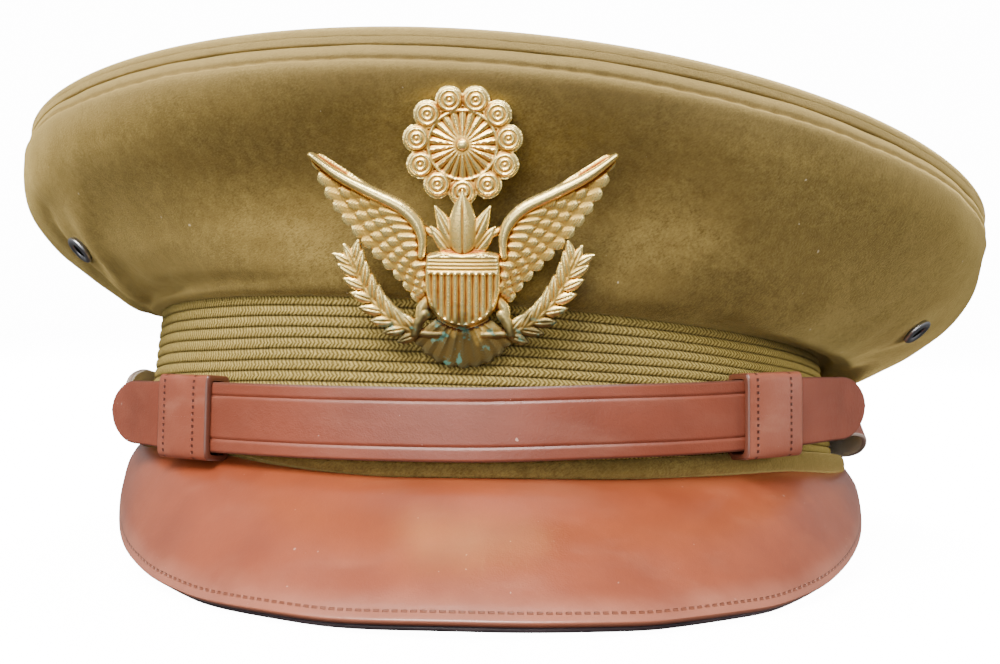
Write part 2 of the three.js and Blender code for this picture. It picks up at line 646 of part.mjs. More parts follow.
// Wings: a plate with a stepped edge and a ridged feather out to each step.
const WING_ROOT = [0.1, -0.06];
const FEATHERS = [
  // tip x, tip y, width
  [0.54, 0.262, 0.07], [0.51, 0.17, 0.065], [0.475, 0.095, 0.06], [0.435, 0.03, 0.06],
  [0.39, -0.025, 0.055], [0.34, -0.075, 0.055],
];
bothSides((flip) => {
  const steps = FEATHERS.flatMap(([x, y], i) => {
    const next = FEATHERS[i + 1] ?? [0.26, -0.13];
    return [[x, y], [lerp(x, next[0], 0.85) - 0.045, lerp(y, next[1], 0.6) - 0.01]];
  });
  plate([[0.1, 0.0], [0.2, 0.085], [0.36, 0.175], ...steps, [0.24, -0.13], [0.1, -0.15]].map(flip), 1.6);
  for (const [x, y, width] of FEATHERS) {
    const root = [lerp(WING_ROOT[0], x, 0.35), lerp(WING_ROOT[1], y, 0.35)];
    blade(flip(root), flip([x - 0.008, y - 0.006]), width, 2.4);
  }
  blade(flip([0.1, -0.02]), flip([0.38, 0.18]), 0.1, 2.9);
});

// Shield: a thick bevelled plate with upright flutes.
const SHIELD = [[-0.135, 0.02], [0.135, 0.02], [0.14, -0.09], [0.125, -0.17], [0.08, -0.235],
  [0, -0.275], [-0.08, -0.235], [-0.125, -0.17], [-0.14, -0.09]];
plate(SHIELD, 2.8, 0.5);
for (let i = -2; i <= 2; i++) {
  const x = i * 0.05;
  const low = -0.23 + Math.abs(i) * 0.02;
  plate([[x - 0.013, 0.005], [x + 0.013, 0.005], [x + 0.013, low], [x - 0.013, low]], 3.4);
}

// Neck of leaves, and the rosette above: a disc ringed by round petals, with a star of rays.
blade([0, -0.02], [0, 0.17], 0.14, 3.4);
bothSides((flip) => blade(flip([0.03, 0]), flip([0.1, 0.13]), 0.08, 2.9));
const ROSETTE_HEIGHT = 0.293;
const onRosette = (x, y, radius) => [radius * x, ROSETTE_HEIGHT + radius * y];
const disc = [];
around(22, (x, y) => disc.push(onRosette(x, y, 0.17)));
plate(disc, 1.8);
const star = [];
bearings(22).forEach((t, i) => star.push(onRosette(Math.sin(t), Math.cos(t), i % 2 ? 0.06 : 0.125)));
plate(star, 2.5, 0.3);
boss([0, ROSETTE_HEIGHT], 0.036, 3.2);
around(11, (x, y) => boss(onRosette(x, y, 0.166), 0.046, 2.8));

// A leafy spray on each lower side, joined to the shield, and a fan of feathers at the foot.
const LEAVES = [
  // root x, root y, tip x, tip y
  [0.2, -0.29, 0.2, -0.22], [0.25, -0.26, 0.31, -0.22], [0.28, -0.22, 0.24, -0.14],
  [0.3, -0.2, 0.37, -0.16], [0.34, -0.155, 0.31, -0.075], [0.35, -0.15, 0.42, -0.1],
  [0.37, -0.12, 0.39, -0.02],
];
bothSides((flip) => {
  plate([[0.06, -0.335], [0.17, -0.34], [0.26, -0.275], [0.34, -0.18], [0.39, -0.09], [0.315, -0.165],
    [0.235, -0.25], [0.16, -0.305], [0.06, -0.3]].map(flip), BADGE_PLATE);
  for (const [x0, y0, x1, y1] of LEAVES) blade(flip([x0, y0]), flip([x1, y1]), 0.05, 2);
  plate([[0.1, -0.2], [0.14, -0.19], [0.21, -0.33], [0.15, -0.34]].map(flip), BADGE_PLATE);
});
for (let i = -2; i <= 2; i++) {
  const angle = rad(i * 24);
  blade([0.03 * i, -0.25], [0.26 * Math.sin(angle), -0.26 - 0.238 * Math.cos(angle)], 0.09, 2.3);
}

// Post for the nut inside the crown.
const nutTop = BADGE_FOOT + Math.cos(badgeTilt) * (BADGE_HEIGHT / 2 + POST_TOP) + NUT_RADIUS;
const backReach = footReach + (nutTop - BADGE_FOOT) * Math.tan(badgeTilt);
const clothDepth = (backReach - tableValue(frontFace, nutTop) + CLOTH) / Math.cos(badgeTilt);
const nutDepth = clothDepth + NUT_HEIGHT + 2.5 * GAP;
const postLength = nutDepth + 1.5;
const post = punch(POST_RADIUS, postLength / 2 + 0.2).translate(0, POST_TOP, 0.2 - postLength / 2);
badgeParts.push(toSolid(post));
let badge = badgeParts[0];
for (const piece of badgeParts.slice(1)) badge = badge.add(piece);
add('badge', toGeometry(badge), GILT, badgeFrame);

const nutAt = badgeFrame
  .clone()
  .multiply(new THREE.Matrix4().makeTranslation(0, POST_TOP, -nutDepth));
const nutProfile = [
  [POST_RADIUS + GAP, 0], [NUT_RADIUS - 0.5, 0], [NUT_RADIUS, 0.5], [NUT_RADIUS, 1.7],
  [NUT_RADIUS - 0.5, NUT_HEIGHT], [POST_RADIUS + GAP, NUT_HEIGHT], [POST_RADIUS + GAP, 0],
];
add('badge_nut', turned(nutProfile, 16), GILT, nutAt);

// Rest: the cap tips back until the peak's lobes and the back of the band's rim touch the table.
const backRim = [BAND_HALF_LENGTH + coreFace, BAND_BOTTOM];
let restAngle = 0;
cap.traverse((piece) => {
  if (!piece.name.startsWith('peak')) return;
  const position = piece.geometry.attributes.position;
  for (let i = 0; i < position.count; i++) {
    const slope = Math.atan2(backRim[1] - position.getZ(i), backRim[0] - position.getY(i));
    restAngle = Math.max(restAngle, slope);
  }
});
cap.rotation.x = -restAngle;
const object = new THREE.Group();
object.add(cap);
object.updateMatrixWorld(true);
const bounds = new THREE.Box3().setFromObject(object, true);
const middle = bounds.getCenter(new THREE.Vector3());
cap.position.set(-middle.x, -middle.y, -bounds.min.z);
object.updateMatrixWorld(true);

export default object;
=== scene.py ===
"""An officer's peaked cap in a plain studio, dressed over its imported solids.

Every visible piece is modelled anew in the cap's own frame (millimetres, +Z up, the peak towards -Y)
and then set down as the solids are: tipped back until peak and band rest on the table.
"""

from __future__ import annotations

import json
import logging
import math
from dataclasses import dataclass, field
from enum import Enum
from typing import Callable, Sequence

import bmesh
import bpy
import numpy as np
from mathutils import Matrix, Vector

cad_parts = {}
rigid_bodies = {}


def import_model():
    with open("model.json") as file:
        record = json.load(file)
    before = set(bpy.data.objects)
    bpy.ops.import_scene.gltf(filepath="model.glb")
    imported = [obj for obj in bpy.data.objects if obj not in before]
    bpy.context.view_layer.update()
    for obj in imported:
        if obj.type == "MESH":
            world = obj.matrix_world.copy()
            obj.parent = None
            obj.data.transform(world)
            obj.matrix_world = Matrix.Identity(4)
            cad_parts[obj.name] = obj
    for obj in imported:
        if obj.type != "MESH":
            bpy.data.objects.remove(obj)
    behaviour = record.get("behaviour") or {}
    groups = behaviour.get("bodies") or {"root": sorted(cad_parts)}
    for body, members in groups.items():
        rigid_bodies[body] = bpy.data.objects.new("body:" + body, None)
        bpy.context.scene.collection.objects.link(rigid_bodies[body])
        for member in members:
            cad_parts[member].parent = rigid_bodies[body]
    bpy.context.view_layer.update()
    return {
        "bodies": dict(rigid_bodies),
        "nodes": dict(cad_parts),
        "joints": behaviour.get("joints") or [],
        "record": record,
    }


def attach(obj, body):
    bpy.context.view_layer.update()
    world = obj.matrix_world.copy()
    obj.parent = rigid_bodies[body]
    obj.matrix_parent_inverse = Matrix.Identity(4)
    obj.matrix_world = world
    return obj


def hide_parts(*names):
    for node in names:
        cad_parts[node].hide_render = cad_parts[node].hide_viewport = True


log = logging.getLogger("cap")

Points = np.ndarray
Shape = Callable[[np.ndarray, np.ndarray], Points]
Marks = Callable[[np.ndarray, np.ndarray], tuple[np.ndarray, np.ndarray]]
Table = Sequence[Sequence[float]]
Number = np.ndarray | float
Socket = bpy.types.NodeSocket
Input = Socket | float | Sequence[float]

# added to a piece's second pattern length on the faces that carry no sewing, in millimetres
PLAIN_FACE = 100.0


# Small tools


def lerp(a: Number, b: Number, share: Number) -> Number:
    """Goes from a to b by a share."""
    return a + (b - a) * share


def smooth(value: np.ndarray, low: float, high: float) -> np.ndarray:
    """Rises softly from 0 at low to 1 at high."""
    share = np.clip((value - low) / (high - low), 0.0, 1.0)
    return share * share * (3.0 - 2.0 * share)


def hump(value: np.ndarray, middle: float, width: float) -> np.ndarray:
    """A bell of height 1 at middle."""
    return np.exp(-(((value - middle) / width) ** 2))


def through(table: Table, at: np.ndarray) -> np.ndarray:
    """Reads a table between its rows along a smooth curve.

    Args:
        table: One row per station, one column per value.
        at: Places between the rows, 0 at the first.

    Returns:
        One row of values per place.
    """
    table = np.asarray(table, dtype=float)
    last = len(table) - 1
    base = np.clip(np.floor(at).astype(int), 0, last - 1)
    f = (at - base)[:, None]
    a, b, c, d = (table[np.clip(base + k, 0, last)] for k in (-1, 0, 1, 2))
    return 0.5 * (2 * b + (c - a) * f + (2 * a - 5 * b + 4 * c - d) * f**2 + (3 * b - a - 3 * c + d) * f**3)


def wander(x: np.ndarray, y: np.ndarray, seed: int, waves: int = 7) -> np.ndarray:
    """A slow, seeded unevenness between about -1 and 1.

    Args:
        x: First coordinate, about one feature per unit.
        y: Second coordinate, likewise.
        seed: Picks the pattern.
        waves: How many ripples are laid over each other.

    Returns:
        The unevenness at each point.
    """
    rng = np.random.default_rng(seed)
    total = np.zeros_like(x)
    for _ in range(waves):
        turn, rate, phase = rng.uniform(0, 2 * math.pi), rng.uniform(0.5, 1.6), rng.uniform(0, 2 * math.pi)
        total += np.sin(2 * math.pi * rate * (x * math.cos(turn) + y * math.sin(turn)) + phase)
    return total / math.sqrt(waves)


def unit(vectors: np.ndarray) -> np.ndarray:
    """Scales each row to length 1."""
    return vectors / np.maximum(np.linalg.norm(vectors, axis=1, keepdims=True), 1e-9)


def boxed(value: np.ndarray, power: float) -> np.ndarray:
    """Squares off a sine or cosine, so that a circle becomes a rounded box."""
    return np.sign(value) * np.abs(value) ** power


def facing(point: Sequence[float], way: Sequence[float]) -> Matrix:
    """A seat at a point, its +Z looking the given way."""
    turn = Vector((0, 0, 1)).rotation_difference(Vector(way)).to_matrix().to_4x4()
    return Matrix.Translation(point) @ turn


def srgb(code: str) -> tuple[float, float, float, float]:
    """Turns a hex colour into the linear colour that shaders take.

    Args:
        code: Six hex digits.

    Returns:
        Red, green, blue and alpha.
    """
    parts = [int(code[i : i + 2], 16) / 255 for i in (0, 2, 4)]
    red, green, blue = (p / 12.92 if p <= 0.04045 else ((p + 0.055) / 1.055) ** 2.4 for p in parts)
    return red, green, blue, 1.0


class Side(Enum):
    """A side of the cap, seen from the front."""

    LEFT = -1
    RIGHT = 1

    @property
    def word(self) -> str:
        """The side's name as the pieces use it."""
        return self.name.lower()


@dataclass(frozen=True)
class Rest:
    """How the cap lies on the table."""

    tilt: float = 0.11222
    shift: tuple[float, float, float] = (-3.13, 5.22, 13.49)

    @property
    def matrix(self) -> Matrix:
        """From the cap's own frame in millimetres to the world in metres."""
        turn = Matrix.Rotation(-self.tilt, 4, "X")
        return Matrix.Scale(0.001, 4) @ Matrix.Translation(self.shift) @ turn

    def place(self, points: Points) -> Points:
        """Sets points of the cap's own frame down in the world."""
        matrix = np.array(self.matrix)
        return points @ matrix[:3, :3].T + matrix[:3, 3]


REST = Rest()


# Modelling


def sheet(name: str, columns: int, rows: int) -> tuple[bmesh.types.BMesh, bpy.types.Mesh, np.ndarray]:
    """Starts a piece as a flat grid.

    Args:
        name: The piece's name.
        columns: Faces from side to side.
        rows: Faces from bottom to top.

    Returns:
        The bmesh, its mesh, and where each vertex lies, from -0.5 to 0.5.
    """
    mesh = bpy.data.meshes.new(name)
    bm = bmesh.new()
    bmesh.ops.create_grid(bm, x_segments=columns, y_segments=rows, size=0.5)
    bm.to_mesh(mesh)
    flat = np.empty(len(mesh.vertices) * 3)
    mesh.vertices.foreach_get("co", flat)
    return bm, mesh, flat.reshape(-1, 3)


def set_down(mesh: bpy.types.Mesh, points: Points) -> None:
    """Moves a mesh's vertices to points of the cap's frame, set down as the cap rests."""
    mesh.vertices.foreach_set("co", REST.place(points).astype(np.float32).ravel())


@dataclass
class Form:
    """A bmesh grid bent into a piece: columns run along it, stations run across its section."""

    name: str
    columns: int
    stations: np.ndarray
    sharp: float = 42.0
    merge: float = 2e-6

    def build(self, shape: Shape, marks: Marks) -> bpy.types.Object:
        """Bends the grid, closes its seams and ends and makes the object.

        Args:
            shape: Gives points in the cap's frame from the column share and the station rows.
            marks: Gives two lengths in millimetres that patterns follow, kept as the UV map.

        Returns:
            The finished object at the origin.
        """
        stations = np.vstack([self.stations, self.stations[:1]])
        rows = len(stations) - 1
        bm, mesh, flat = sheet(self.name, self.columns, rows)
        share = np.round((flat[:, 0] + 0.5) * self.columns) / self.columns
        row = np.clip(np.round((flat[:, 1] + 0.5) * rows).astype(int), 0, rows)
        set_down(mesh, shape(share, stations[row]))
        lengths = np.stack(marks(share, stations[row]), axis=1)
        corner = np.empty(len(mesh.loops), dtype=np.int32)
        mesh.loops.foreach_get("vertex_index", corner)
        layer = mesh.uv_layers.new(name="UVMap")
        layer.data.foreach_set("uv", lengths[corner].astype(np.float32).ravel())
        bm.clear()
        bm.from_mesh(mesh)
        bmesh.ops.remove_doubles(bm, verts=bm.verts, dist=self.merge)
        open_edges = [edge for edge in bm.edges if edge.is_boundary]
        if open_edges:
            bmesh.ops.holes_fill(bm, edges=open_edges, sides=0)
        bmesh.ops.recalc_face_normals(bm, faces=bm.faces)
        return finished(self.name, bm, mesh, self.sharp)


def finished(name: str, bm: bmesh.types.BMesh, mesh: bpy.types.Mesh, sharp: float) -> bpy.types.Object:
    """Writes a bmesh to its mesh, shades it and links its object.

    Args:
        name: The piece's name.
        bm: The bmesh, freed here.
        mesh: The mesh that takes it.
        sharp: Edges over this angle in degrees stay crisp.

    Returns:
        The object, at the origin.
    """
    bm.to_mesh(mesh)
    bm.free()
    mesh.polygons.foreach_set("use_smooth", np.ones(len(mesh.polygons), dtype=bool))
    mesh.set_sharp_from_angle(angle=math.radians(sharp))
    piece = bpy.data.objects.new(name, mesh)
    bpy.context.collection.objects.link(piece)
    return piece


def turned(name: str, profile: Sequence[tuple[float, float]], seat: Matrix, steps: int) -> bpy.types.Object:
    """Spins a profile about its own +Z and sets it on its seat.

    Args:
        name: The piece's name.
        profile: Radius and height pairs, in millimetres.
        seat: From the piece's frame to the cap's frame.
        steps: Steps of the full turn.

    Returns:
        The object.
    """
    bm = bmesh.new()
    verts = [bm.verts.new((radius, 0.0, height)) for radius, height in profile]
    edges = [bm.edges.new(pair) for pair in zip(verts, verts[1:])]
    bmesh.ops.spin(
        bm, geom=verts + edges, axis=(0, 0, 1), cent=(0, 0, 0), angle=2 * math.pi, steps=steps, use_merge=True
    )
    bmesh.ops.remove_doubles(bm, verts=bm.verts, dist=1e-4)
    bmesh.ops.recalc_face_normals(bm, faces=bm.faces)
    bmesh.ops.transform(bm, matrix=REST.matrix @ seat, verts=bm.verts)
    return finished(name, bm, bpy.data.meshes.new(name), 50.0)


def dress(piece: bpy.types.Object, finish: bpy.types.Material, slot: str, *nodes: str) -> None:
    """Gives a piece its finish and its body, and hides the solids that it stands for.

    Args:
        piece: The finished object.
        finish: Its material.
        slot: The record's material slot; not used.
        *nodes: The CAD nodes that it replaces.
    """
    piece.data.materials.clear()
    piece.data.materials.append(finish)
    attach(piece, "root")
    if nodes:
        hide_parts(*nodes)
    log.info("%s: %d faces", piece.name, len(piece.data.polygons))


# Finishes


@dataclass(frozen=True)
class StitchRow:
    """One row of sewing on a leather piece, in millimetres of its UV map."""

    line: float
    pitch: float = 2.2
    width: float = 0.5
    crosswise: bool = False
    share: float = 0.62


class Recipe:
    """Adds and joins the nodes of one material."""

    def __init__(self, name: str) -> None:
        """Starts a material with a bare surface shader.

        Args:
            name: The finish's plain name.
        """
        self.material = bpy.data.materials.new(name)
        self.material.use_nodes = True
        self.tree = self.material.node_tree
        self.tree.nodes.clear()
        self.surface = self.node("ShaderNodeBsdfPrincipled")
        out = self.node("ShaderNodeOutputMaterial")
        self.tree.links.new(self.surface.outputs[0], out.inputs["Surface"])
        self.place = self.node("ShaderNodeTexCoord").outputs["Object"]
        self.lengths = self.node("ShaderNodeUVMap").outputs["UV"]

    def node(self, kind: str, settings: dict | None = None, sockets: dict | None = None) -> bpy.types.Node:
        """Adds a node.

        Args:
            kind: Blender's node type.
            settings: Properties by name.
            sockets: Input values or output sockets to join, by name or index.

        Returns:
            The node.
        """
        made = self.tree.nodes.new(kind)
        for key, value in (settings or {}).items():
            setattr(made, key, value)
        for key, value in (sockets or {}).items():
            self.fill(made.inputs[key], value)
        return made

    def fill(self, entry: Socket, value: Input) -> None:
        """Joins an input to a socket, or sets its value.

        Args:
            entry: The input.
            value: What it takes.
        """
        if isinstance(value, Socket):
            self.tree.links.new(value, entry)
        else:
            entry.default_value = value

    def set(self, **values: Input) -> None:
        """Sets or joins inputs of the surface shader.

        Args:
            **values: Inputs by name, underscores standing for spaces.
        """
        for key, value in values.items():
            self.fill(self.surface.inputs[key.replace("_", " ").title().replace("Ior", "IOR")], value)

    def maths(self, operation: str, a: Input, b: Input = 0.0, c: Input = 0.0) -> Socket:
        """Calculates with up to three numbers or sockets."""
        return self.node("ShaderNodeMath", {"operation": operation}, {0: a, 1: b, 2: c}).outputs[0]

    def noise(
        self,
        scale: float,
        detail: float = 3.0,
        rough: float = 0.55,
        stretch: Sequence[float] = (1, 1, 1),
        vector: Socket | None = None,
    ) -> Socket:
        """Cloudy noise in object space, its scale in features per metre.

        Args:
            scale: Noise scale.
            detail: Octaves.
            rough: Strength of the finer octaves.
            stretch: Scale along each axis.
            vector: Coordinates, or the object's own.

        Returns:
            The noise's value socket.
        """
        source = vector if vector is not None else self.place
        mapped = self.node("ShaderNodeMapping", None, {"Vector": source, "Scale": stretch}).outputs[0]
        sockets = {"Vector": mapped, "Scale": scale, "Detail": detail, "Roughness": rough}
        return self.node("ShaderNodeTexNoise", None, sockets).outputs[0]

    def spread(
        self, value: Input, low: float, high: float, to_low: float = 0.0, to_high: float = 1.0
    ) -> Socket:
        """Maps a range of a value to another range, softly clipped.

        Args:
            value: The value.
            low: Where its range starts.
            high: Where its range ends.
            to_low: What low becomes.
            to_high: What high becomes.

        Returns:
            The mapped value's socket.
        """
        settings = {"interpolation_type": "SMOOTHSTEP"}
        sockets = {0: value, 1: low, 2: high, 3: to_low, 4: to_high}
        return self.node("ShaderNodeMapRange", settings, sockets).outputs[0]

    def mix(self, share: Input, a: Input, b: Input) -> Socket:
        """Mixes two colours by a share."""
        return self.node("ShaderNodeMix", {"data_type": "RGBA"}, {0: share, 6: a, 7: b}).outputs[2]

    def bump(self, height: Socket, depth: float, normal: Socket | None = None) -> Socket:
        """Turns a height of 0 to 1 into a bump.

        Args:
            height: The height's socket.
            depth: What a height of 1 stands for, in metres.
            normal: The bump beneath it, if any.

        Returns:
            The normal socket.
        """
        sockets = {"Height": height, "Distance": depth, "Strength": 1.0}
        if normal is not None:
            sockets["Normal"] = normal
        return self.node("ShaderNodeBump", None, sockets).outputs[0]

    def split(self, vector: Socket) -> tuple[Socket, Socket]:
        """The first two parts of a vector."""
        parts = self.node("ShaderNodeSeparateXYZ", None, {0: vector}).outputs
        return parts[0], parts[1]

    def stitches(self, along: Socket, across: Socket, row: StitchRow) -> Socket:
        """Marks a row of stitches on the lengths of the UV map.

        Args:
            along: Length along the row.
            across: Length across the row.
            row: The row's place and sizes.

        Returns:
            1 on the thread and 0 beside it.
        """
        off = self.maths("ABSOLUTE", self.maths("SUBTRACT", across, row.line))
        thread = self.spread(off, row.width * 0.35, row.width * 0.75, 1.0, 0.0)
        part = self.maths("FRACT", self.maths("DIVIDE", along, row.pitch))
        middle = self.maths("ABSOLUTE", self.maths("SUBTRACT", part, 0.5))
        half = row.share / 2
        return self.maths("MULTIPLY", thread, self.spread(middle, half - 0.05, half + 0.07, 1.0, 0.0))


@dataclass(frozen=True)
class Wool:
    """Napped olive wool: mottled, matt and soft at grazing angles, lighter towards the top where a painted
    highlight is asked for.
    """

    name: str = "olive_wool"
    dark: str = "55451f"
    light: str = "8d7943"
    blotch: str = "675428"
    # painted highlight: the lighter colour that the cloth takes towards the top, where the light falls
    wear_and_highlight: str = "b7a069"
    lint: str = "d9c9a4"
    sheen: str = "d6bc76"
    nap: float = 0.0003
    # lengths up the section between which the painted highlight comes in, out of reach where there is none
    painted_highlight_span: tuple[float, float] = (900.0, 901.0)

    def make(self) -> bpy.types.Material:
        """Builds the material.

        Returns:
            The material.
        """
        r = Recipe(self.name)
        sockets = {"Vector": r.place, "Rotation": (0.0, 0.6, 0.0)}
        leaning = r.node("ShaderNodeMapping", None, sockets).outputs[0]
        strand = r.noise(1000.0, 3.0, 0.65, (1.3, 2.2, 3.6), leaning)
        fibre = r.maths("MULTIPLY_ADD", strand, 0.6, r.maths("MULTIPLY", r.noise(2100.0, 3.0, 0.7), 0.4))
        tuft = r.noise(420.0, 3.0, 0.6)
        cloud = r.noise(55.0, 4.0, 0.6, (1.0, 1.0, 1.5))
        tone = r.maths("MULTIPLY_ADD", fibre, 0.72, r.maths("MULTIPLY", tuft, 0.28))
        tone = r.spread(tone, 0.3, 0.7)
        colour = r.mix(tone, srgb(self.dark), srgb(self.light))
        colour = r.mix(r.spread(cloud, 0.38, 0.66, 0.0, 0.42), colour, srgb(self.blotch))
        _, up = r.split(r.lengths)
        # painted highlight: the cloth turns lighter towards the top of its section, where the light falls
        painted_highlight = r.maths("MULTIPLY_ADD", cloud, 6.0, r.maths("SUBTRACT", up, 3.0))
        colour = r.mix(r.spread(painted_highlight, *self.painted_highlight_span, 0.0, 0.5), colour, srgb(self.wear_and_highlight))
        lint = r.spread(r.noise(760.0, 0.0, 0.5), 0.885, 0.9)
        colour = r.mix(r.maths("MULTIPLY", lint, 0.55), colour, srgb(self.lint))
        height = r.maths("MULTIPLY_ADD", fibre, 0.8, r.maths("MULTIPLY", tuft, 0.2))
        r.set(base_color=colour, roughness=0.95, specular_ior_level=0.15, normal=r.bump(height, self.nap))
        r.set(sheen_weight=1.0, sheen_roughness=0.42, sheen_tint=srgb(self.sheen))
        return r.material


@dataclass(frozen=True)
class Braid:
    """Ribbed braid: each rib is plaited from slanting stitches that meet along its middle."""

    name: str = "olive_braid"
    bottom: float = 3.7
    rib: float = 2.213
    stitch: float = 1.12
    relief: float = 0.00022
    dark: str = "62521f"
    light: str = "b39d58"
    seam: str = "3d3113"
    sheen: str = "cdb86c"

    def make(self) -> bpy.types.Material:
        """Builds the material.

        Returns:
            The material.
        """
        r = Recipe(self.name)
        along, up = r.split(r.lengths)
        rib = r.maths("FRACT", r.maths("DIVIDE", r.maths("SUBTRACT", up, self.bottom), self.rib))
        side = r.maths("ABSOLUTE", r.maths("SUBTRACT", rib, 0.5))
        stray = r.maths("MULTIPLY", r.noise(420.0, 2.0, 0.5), 1.1)
        slant = r.maths("MULTIPLY_ADD", side, 1.7, stray)
        slant = r.maths("ADD", r.maths("DIVIDE", along, self.stitch), slant)
        wave = r.maths("SINE", r.maths("MULTIPLY", slant, 2 * math.pi))
        yarn = r.maths("MULTIPLY_ADD", wave, 0.5, 0.5)
        fuzz = r.noise(2200.0, 3.0, 0.7)
        groove = r.spread(side, 0.3, 0.5)
        tone = r.maths("MULTIPLY_ADD", fuzz, 0.7, r.maths("MULTIPLY", yarn, 0.4))
        colour = r.mix(r.spread(tone, 0.25, 0.85), srgb(self.dark), srgb(self.light))
        colour = r.mix(r.maths("MULTIPLY", groove, 0.75), colour, srgb(self.seam))
        height = r.maths("ADD", r.maths("MULTIPLY", yarn, 0.8), r.maths("MULTIPLY", fuzz, 0.4))
        r.set(base_color=colour, roughness=0.85, specular_ior_level=0.25, normal=r.bump(height, self.relief))
        r.set(sheen_weight=0.3, sheen_roughness=0.4, sheen_tint=srgb(self.sheen))
        return r.material


@dataclass(frozen=True)
class Leather:
    """Polished leather with fine grain, cloudy dye, scuffs and rows of sewing."""

    name: str
    colour: str
    deep: str
    wear_and_highlight: str
    roughness: float = 0.36
    coat: float = 0.25
    grain: float = 0.00004
    scuffs: float = 0.5
    rows: tuple[StitchRow, ...] = ()
    thread: str = "7b4a30"
    scratch: str = "e3bfae"
    # raw back, cut edge, and the pale band by the edge that is partly rubbed wear and partly a painted
    # highlight, where there are any
    flesh: str = ""
    cut: str = "5e3122"
    edge_wear_and_highlight: str = ""
    # pattern lengths past which a cut edge shows, along and across the piece
    edges: tuple[float | None, float | None] = (None, None)

    def make(self) -> bpy.types.Material:
        """Builds the material.

        Returns:
            The material.
        """
        r = Recipe(self.name)
        cloud = r.noise(38.0, 4.0, 0.55)
        pores = r.noise(2600.0, 2.0, 0.6)
        creases = r.noise(700.0, 3.0, 0.65)
        rub = r.noise(110.0, 4.0, 0.6, (0.35, 1.0, 1.8))
        colour = r.mix(r.spread(cloud, 0.3, 0.7), srgb(self.colour), srgb(self.deep))
        colour = r.mix(r.spread(pores, 0.45, 0.7, 0.0, 0.25), colour, srgb(self.deep))
        wear_and_highlight = r.maths("MULTIPLY", r.spread(rub, 0.5, 0.8), self.scuffs)
        colour = r.mix(wear_and_highlight, colour, srgb(self.wear_and_highlight))
        specks = r.spread(r.noise(820.0, 0.0, 0.5), 0.87, 0.89, 0.0, 0.5)
        colour = r.mix(specks, colour, srgb(self.scratch))
        normal = r.bump(r.maths("ADD", pores, r.maths("MULTIPLY", creases, 1.4)), self.grain)
        along, across = r.split(r.lengths)
        for length, limit in zip((along, across), self.edges):
            if limit is not None:
                rim = r.spread(r.maths("ABSOLUTE", length), limit - 0.25, limit + 0.1)
                colour = r.mix(rim, colour, srgb(self.cut))
        if self.edge_wear_and_highlight:
            # the pale band by the edge: partly rubbed wear, partly a painted highlight on the rolled edge
            near = r.maths("MULTIPLY_ADD", cloud, 9.0, r.maths("SUBTRACT", across, 4.5))
            colour = r.mix(r.spread(near, 8.0, 1.0, 0.0, 0.2), colour, srgb(self.edge_wear_and_highlight))
        back = r.spread(across, PLAIN_FACE / 2, PLAIN_FACE / 2 + 2.0)
        if self.flesh:
            colour = r.mix(back, colour, srgb(self.flesh))
        marks = None
        for row in self.rows:
            first, second = (across, along) if row.crosswise else (along, across)
            mark = r.stitches(first, second, row)
            marks = mark if marks is None else r.maths("MAXIMUM", marks, mark)
        if marks is not None:
            colour = r.mix(marks, colour, srgb(self.thread))
            normal = r.bump(marks, -0.00025, normal)
        gloss = r.spread(rub, 0.35, 0.75, self.roughness - 0.04, self.roughness + 0.1)
        gloss = r.maths("MAXIMUM", gloss, r.maths("MULTIPLY", back, 0.8)) if self.flesh else gloss
        r.set(base_color=colour, roughness=gloss, normal=normal, coat_weight=self.coat, coat_roughness=0.3)
        return r.material


@dataclass(frozen=True)
class Gilt:
    """Old gilding: pale on the ridges, orange brown in the hollows, a little verdigris at the foot."""

    name: str = "gilt_relief"
    dull: str = "332812"
    green: str = "3f8474"
    bright: str = "ffe692"
    middle: str = "f9c961"
    deep: str = "8a4c14"

    def make(self) -> bpy.types.Material:
        """Builds the material.

        Returns:
            The material.
        """
        r = Recipe(self.name)
        hollow = r.node("ShaderNodeAttribute", {"attribute_name": "hollow"}).outputs["Fac"]
        cloud = r.noise(260.0, 4.0, 0.6)
        fine = r.noise(2400.0, 2.0, 0.6)
        depth = r.maths("ADD", hollow, r.maths("MULTIPLY_ADD", cloud, 0.36, -0.18))
        colour = r.mix(r.spread(depth, 0.3, 0.56), srgb(self.bright), srgb(self.middle))
        colour = r.mix(r.spread(depth, 0.55, 0.85), colour, srgb(self.deep))
        rise = r.node("ShaderNodeAttribute", {"attribute_name": "rise"}).outputs["Fac"]
        low = r.maths("MULTIPLY_ADD", r.noise(150.0, 3.0, 0.6), 0.5, r.maths("SUBTRACT", 0.0, rise))
        dull = r.spread(low, -0.02, 0.14)
        colour = r.mix(r.maths("MULTIPLY", dull, 0.9), colour, srgb(self.dull))
        green = r.maths("MULTIPLY", r.spread(r.noise(420.0, 3.0, 0.6), 0.56, 0.66), r.spread(rise, 0.3, 0.14))
        colour = r.mix(r.maths("MULTIPLY", green, 0.7), colour, srgb(self.green))
        gloss = r.maths("MULTIPLY_ADD", dull, 0.15, r.spread(depth, 0.35, 0.8, 0.26, 0.5))
        normal = r.bump(fine, 0.00004)
        metallic = r.maths("MULTIPLY_ADD", green, -0.6, 0.78)
        r.set(base_color=colour, metallic=metallic, roughness=gloss, normal=normal)
        return r.material


@dataclass(frozen=True)
class Metal:
    """Worn metal with a tarnish that gathers where it is rarely rubbed."""

    name: str
    colour: str
    tarnish: str
    roughness: float = 0.3
    spots: float = 0.5

    def make(self) -> bpy.types.Material:
        """Builds the material.

        Returns:
            The material.
        """
        r = Recipe(self.name)
        cloud = r.noise(160.0, 4.0, 0.6)
        fine = r.noise(1800.0, 2.0, 0.6)
        dull = r.maths("MULTIPLY", r.spread(cloud, 0.42, 0.7), self.spots)
        colour = r.mix(dull, srgb(self.colour), srgb(self.tarnish))
        gloss = r.maths("MULTIPLY_ADD", dull, 0.3, self.roughness)
        r.set(base_color=colour, metallic=1.0, roughness=gloss, normal=r.bump(fine, 0.00003))
        return r.material


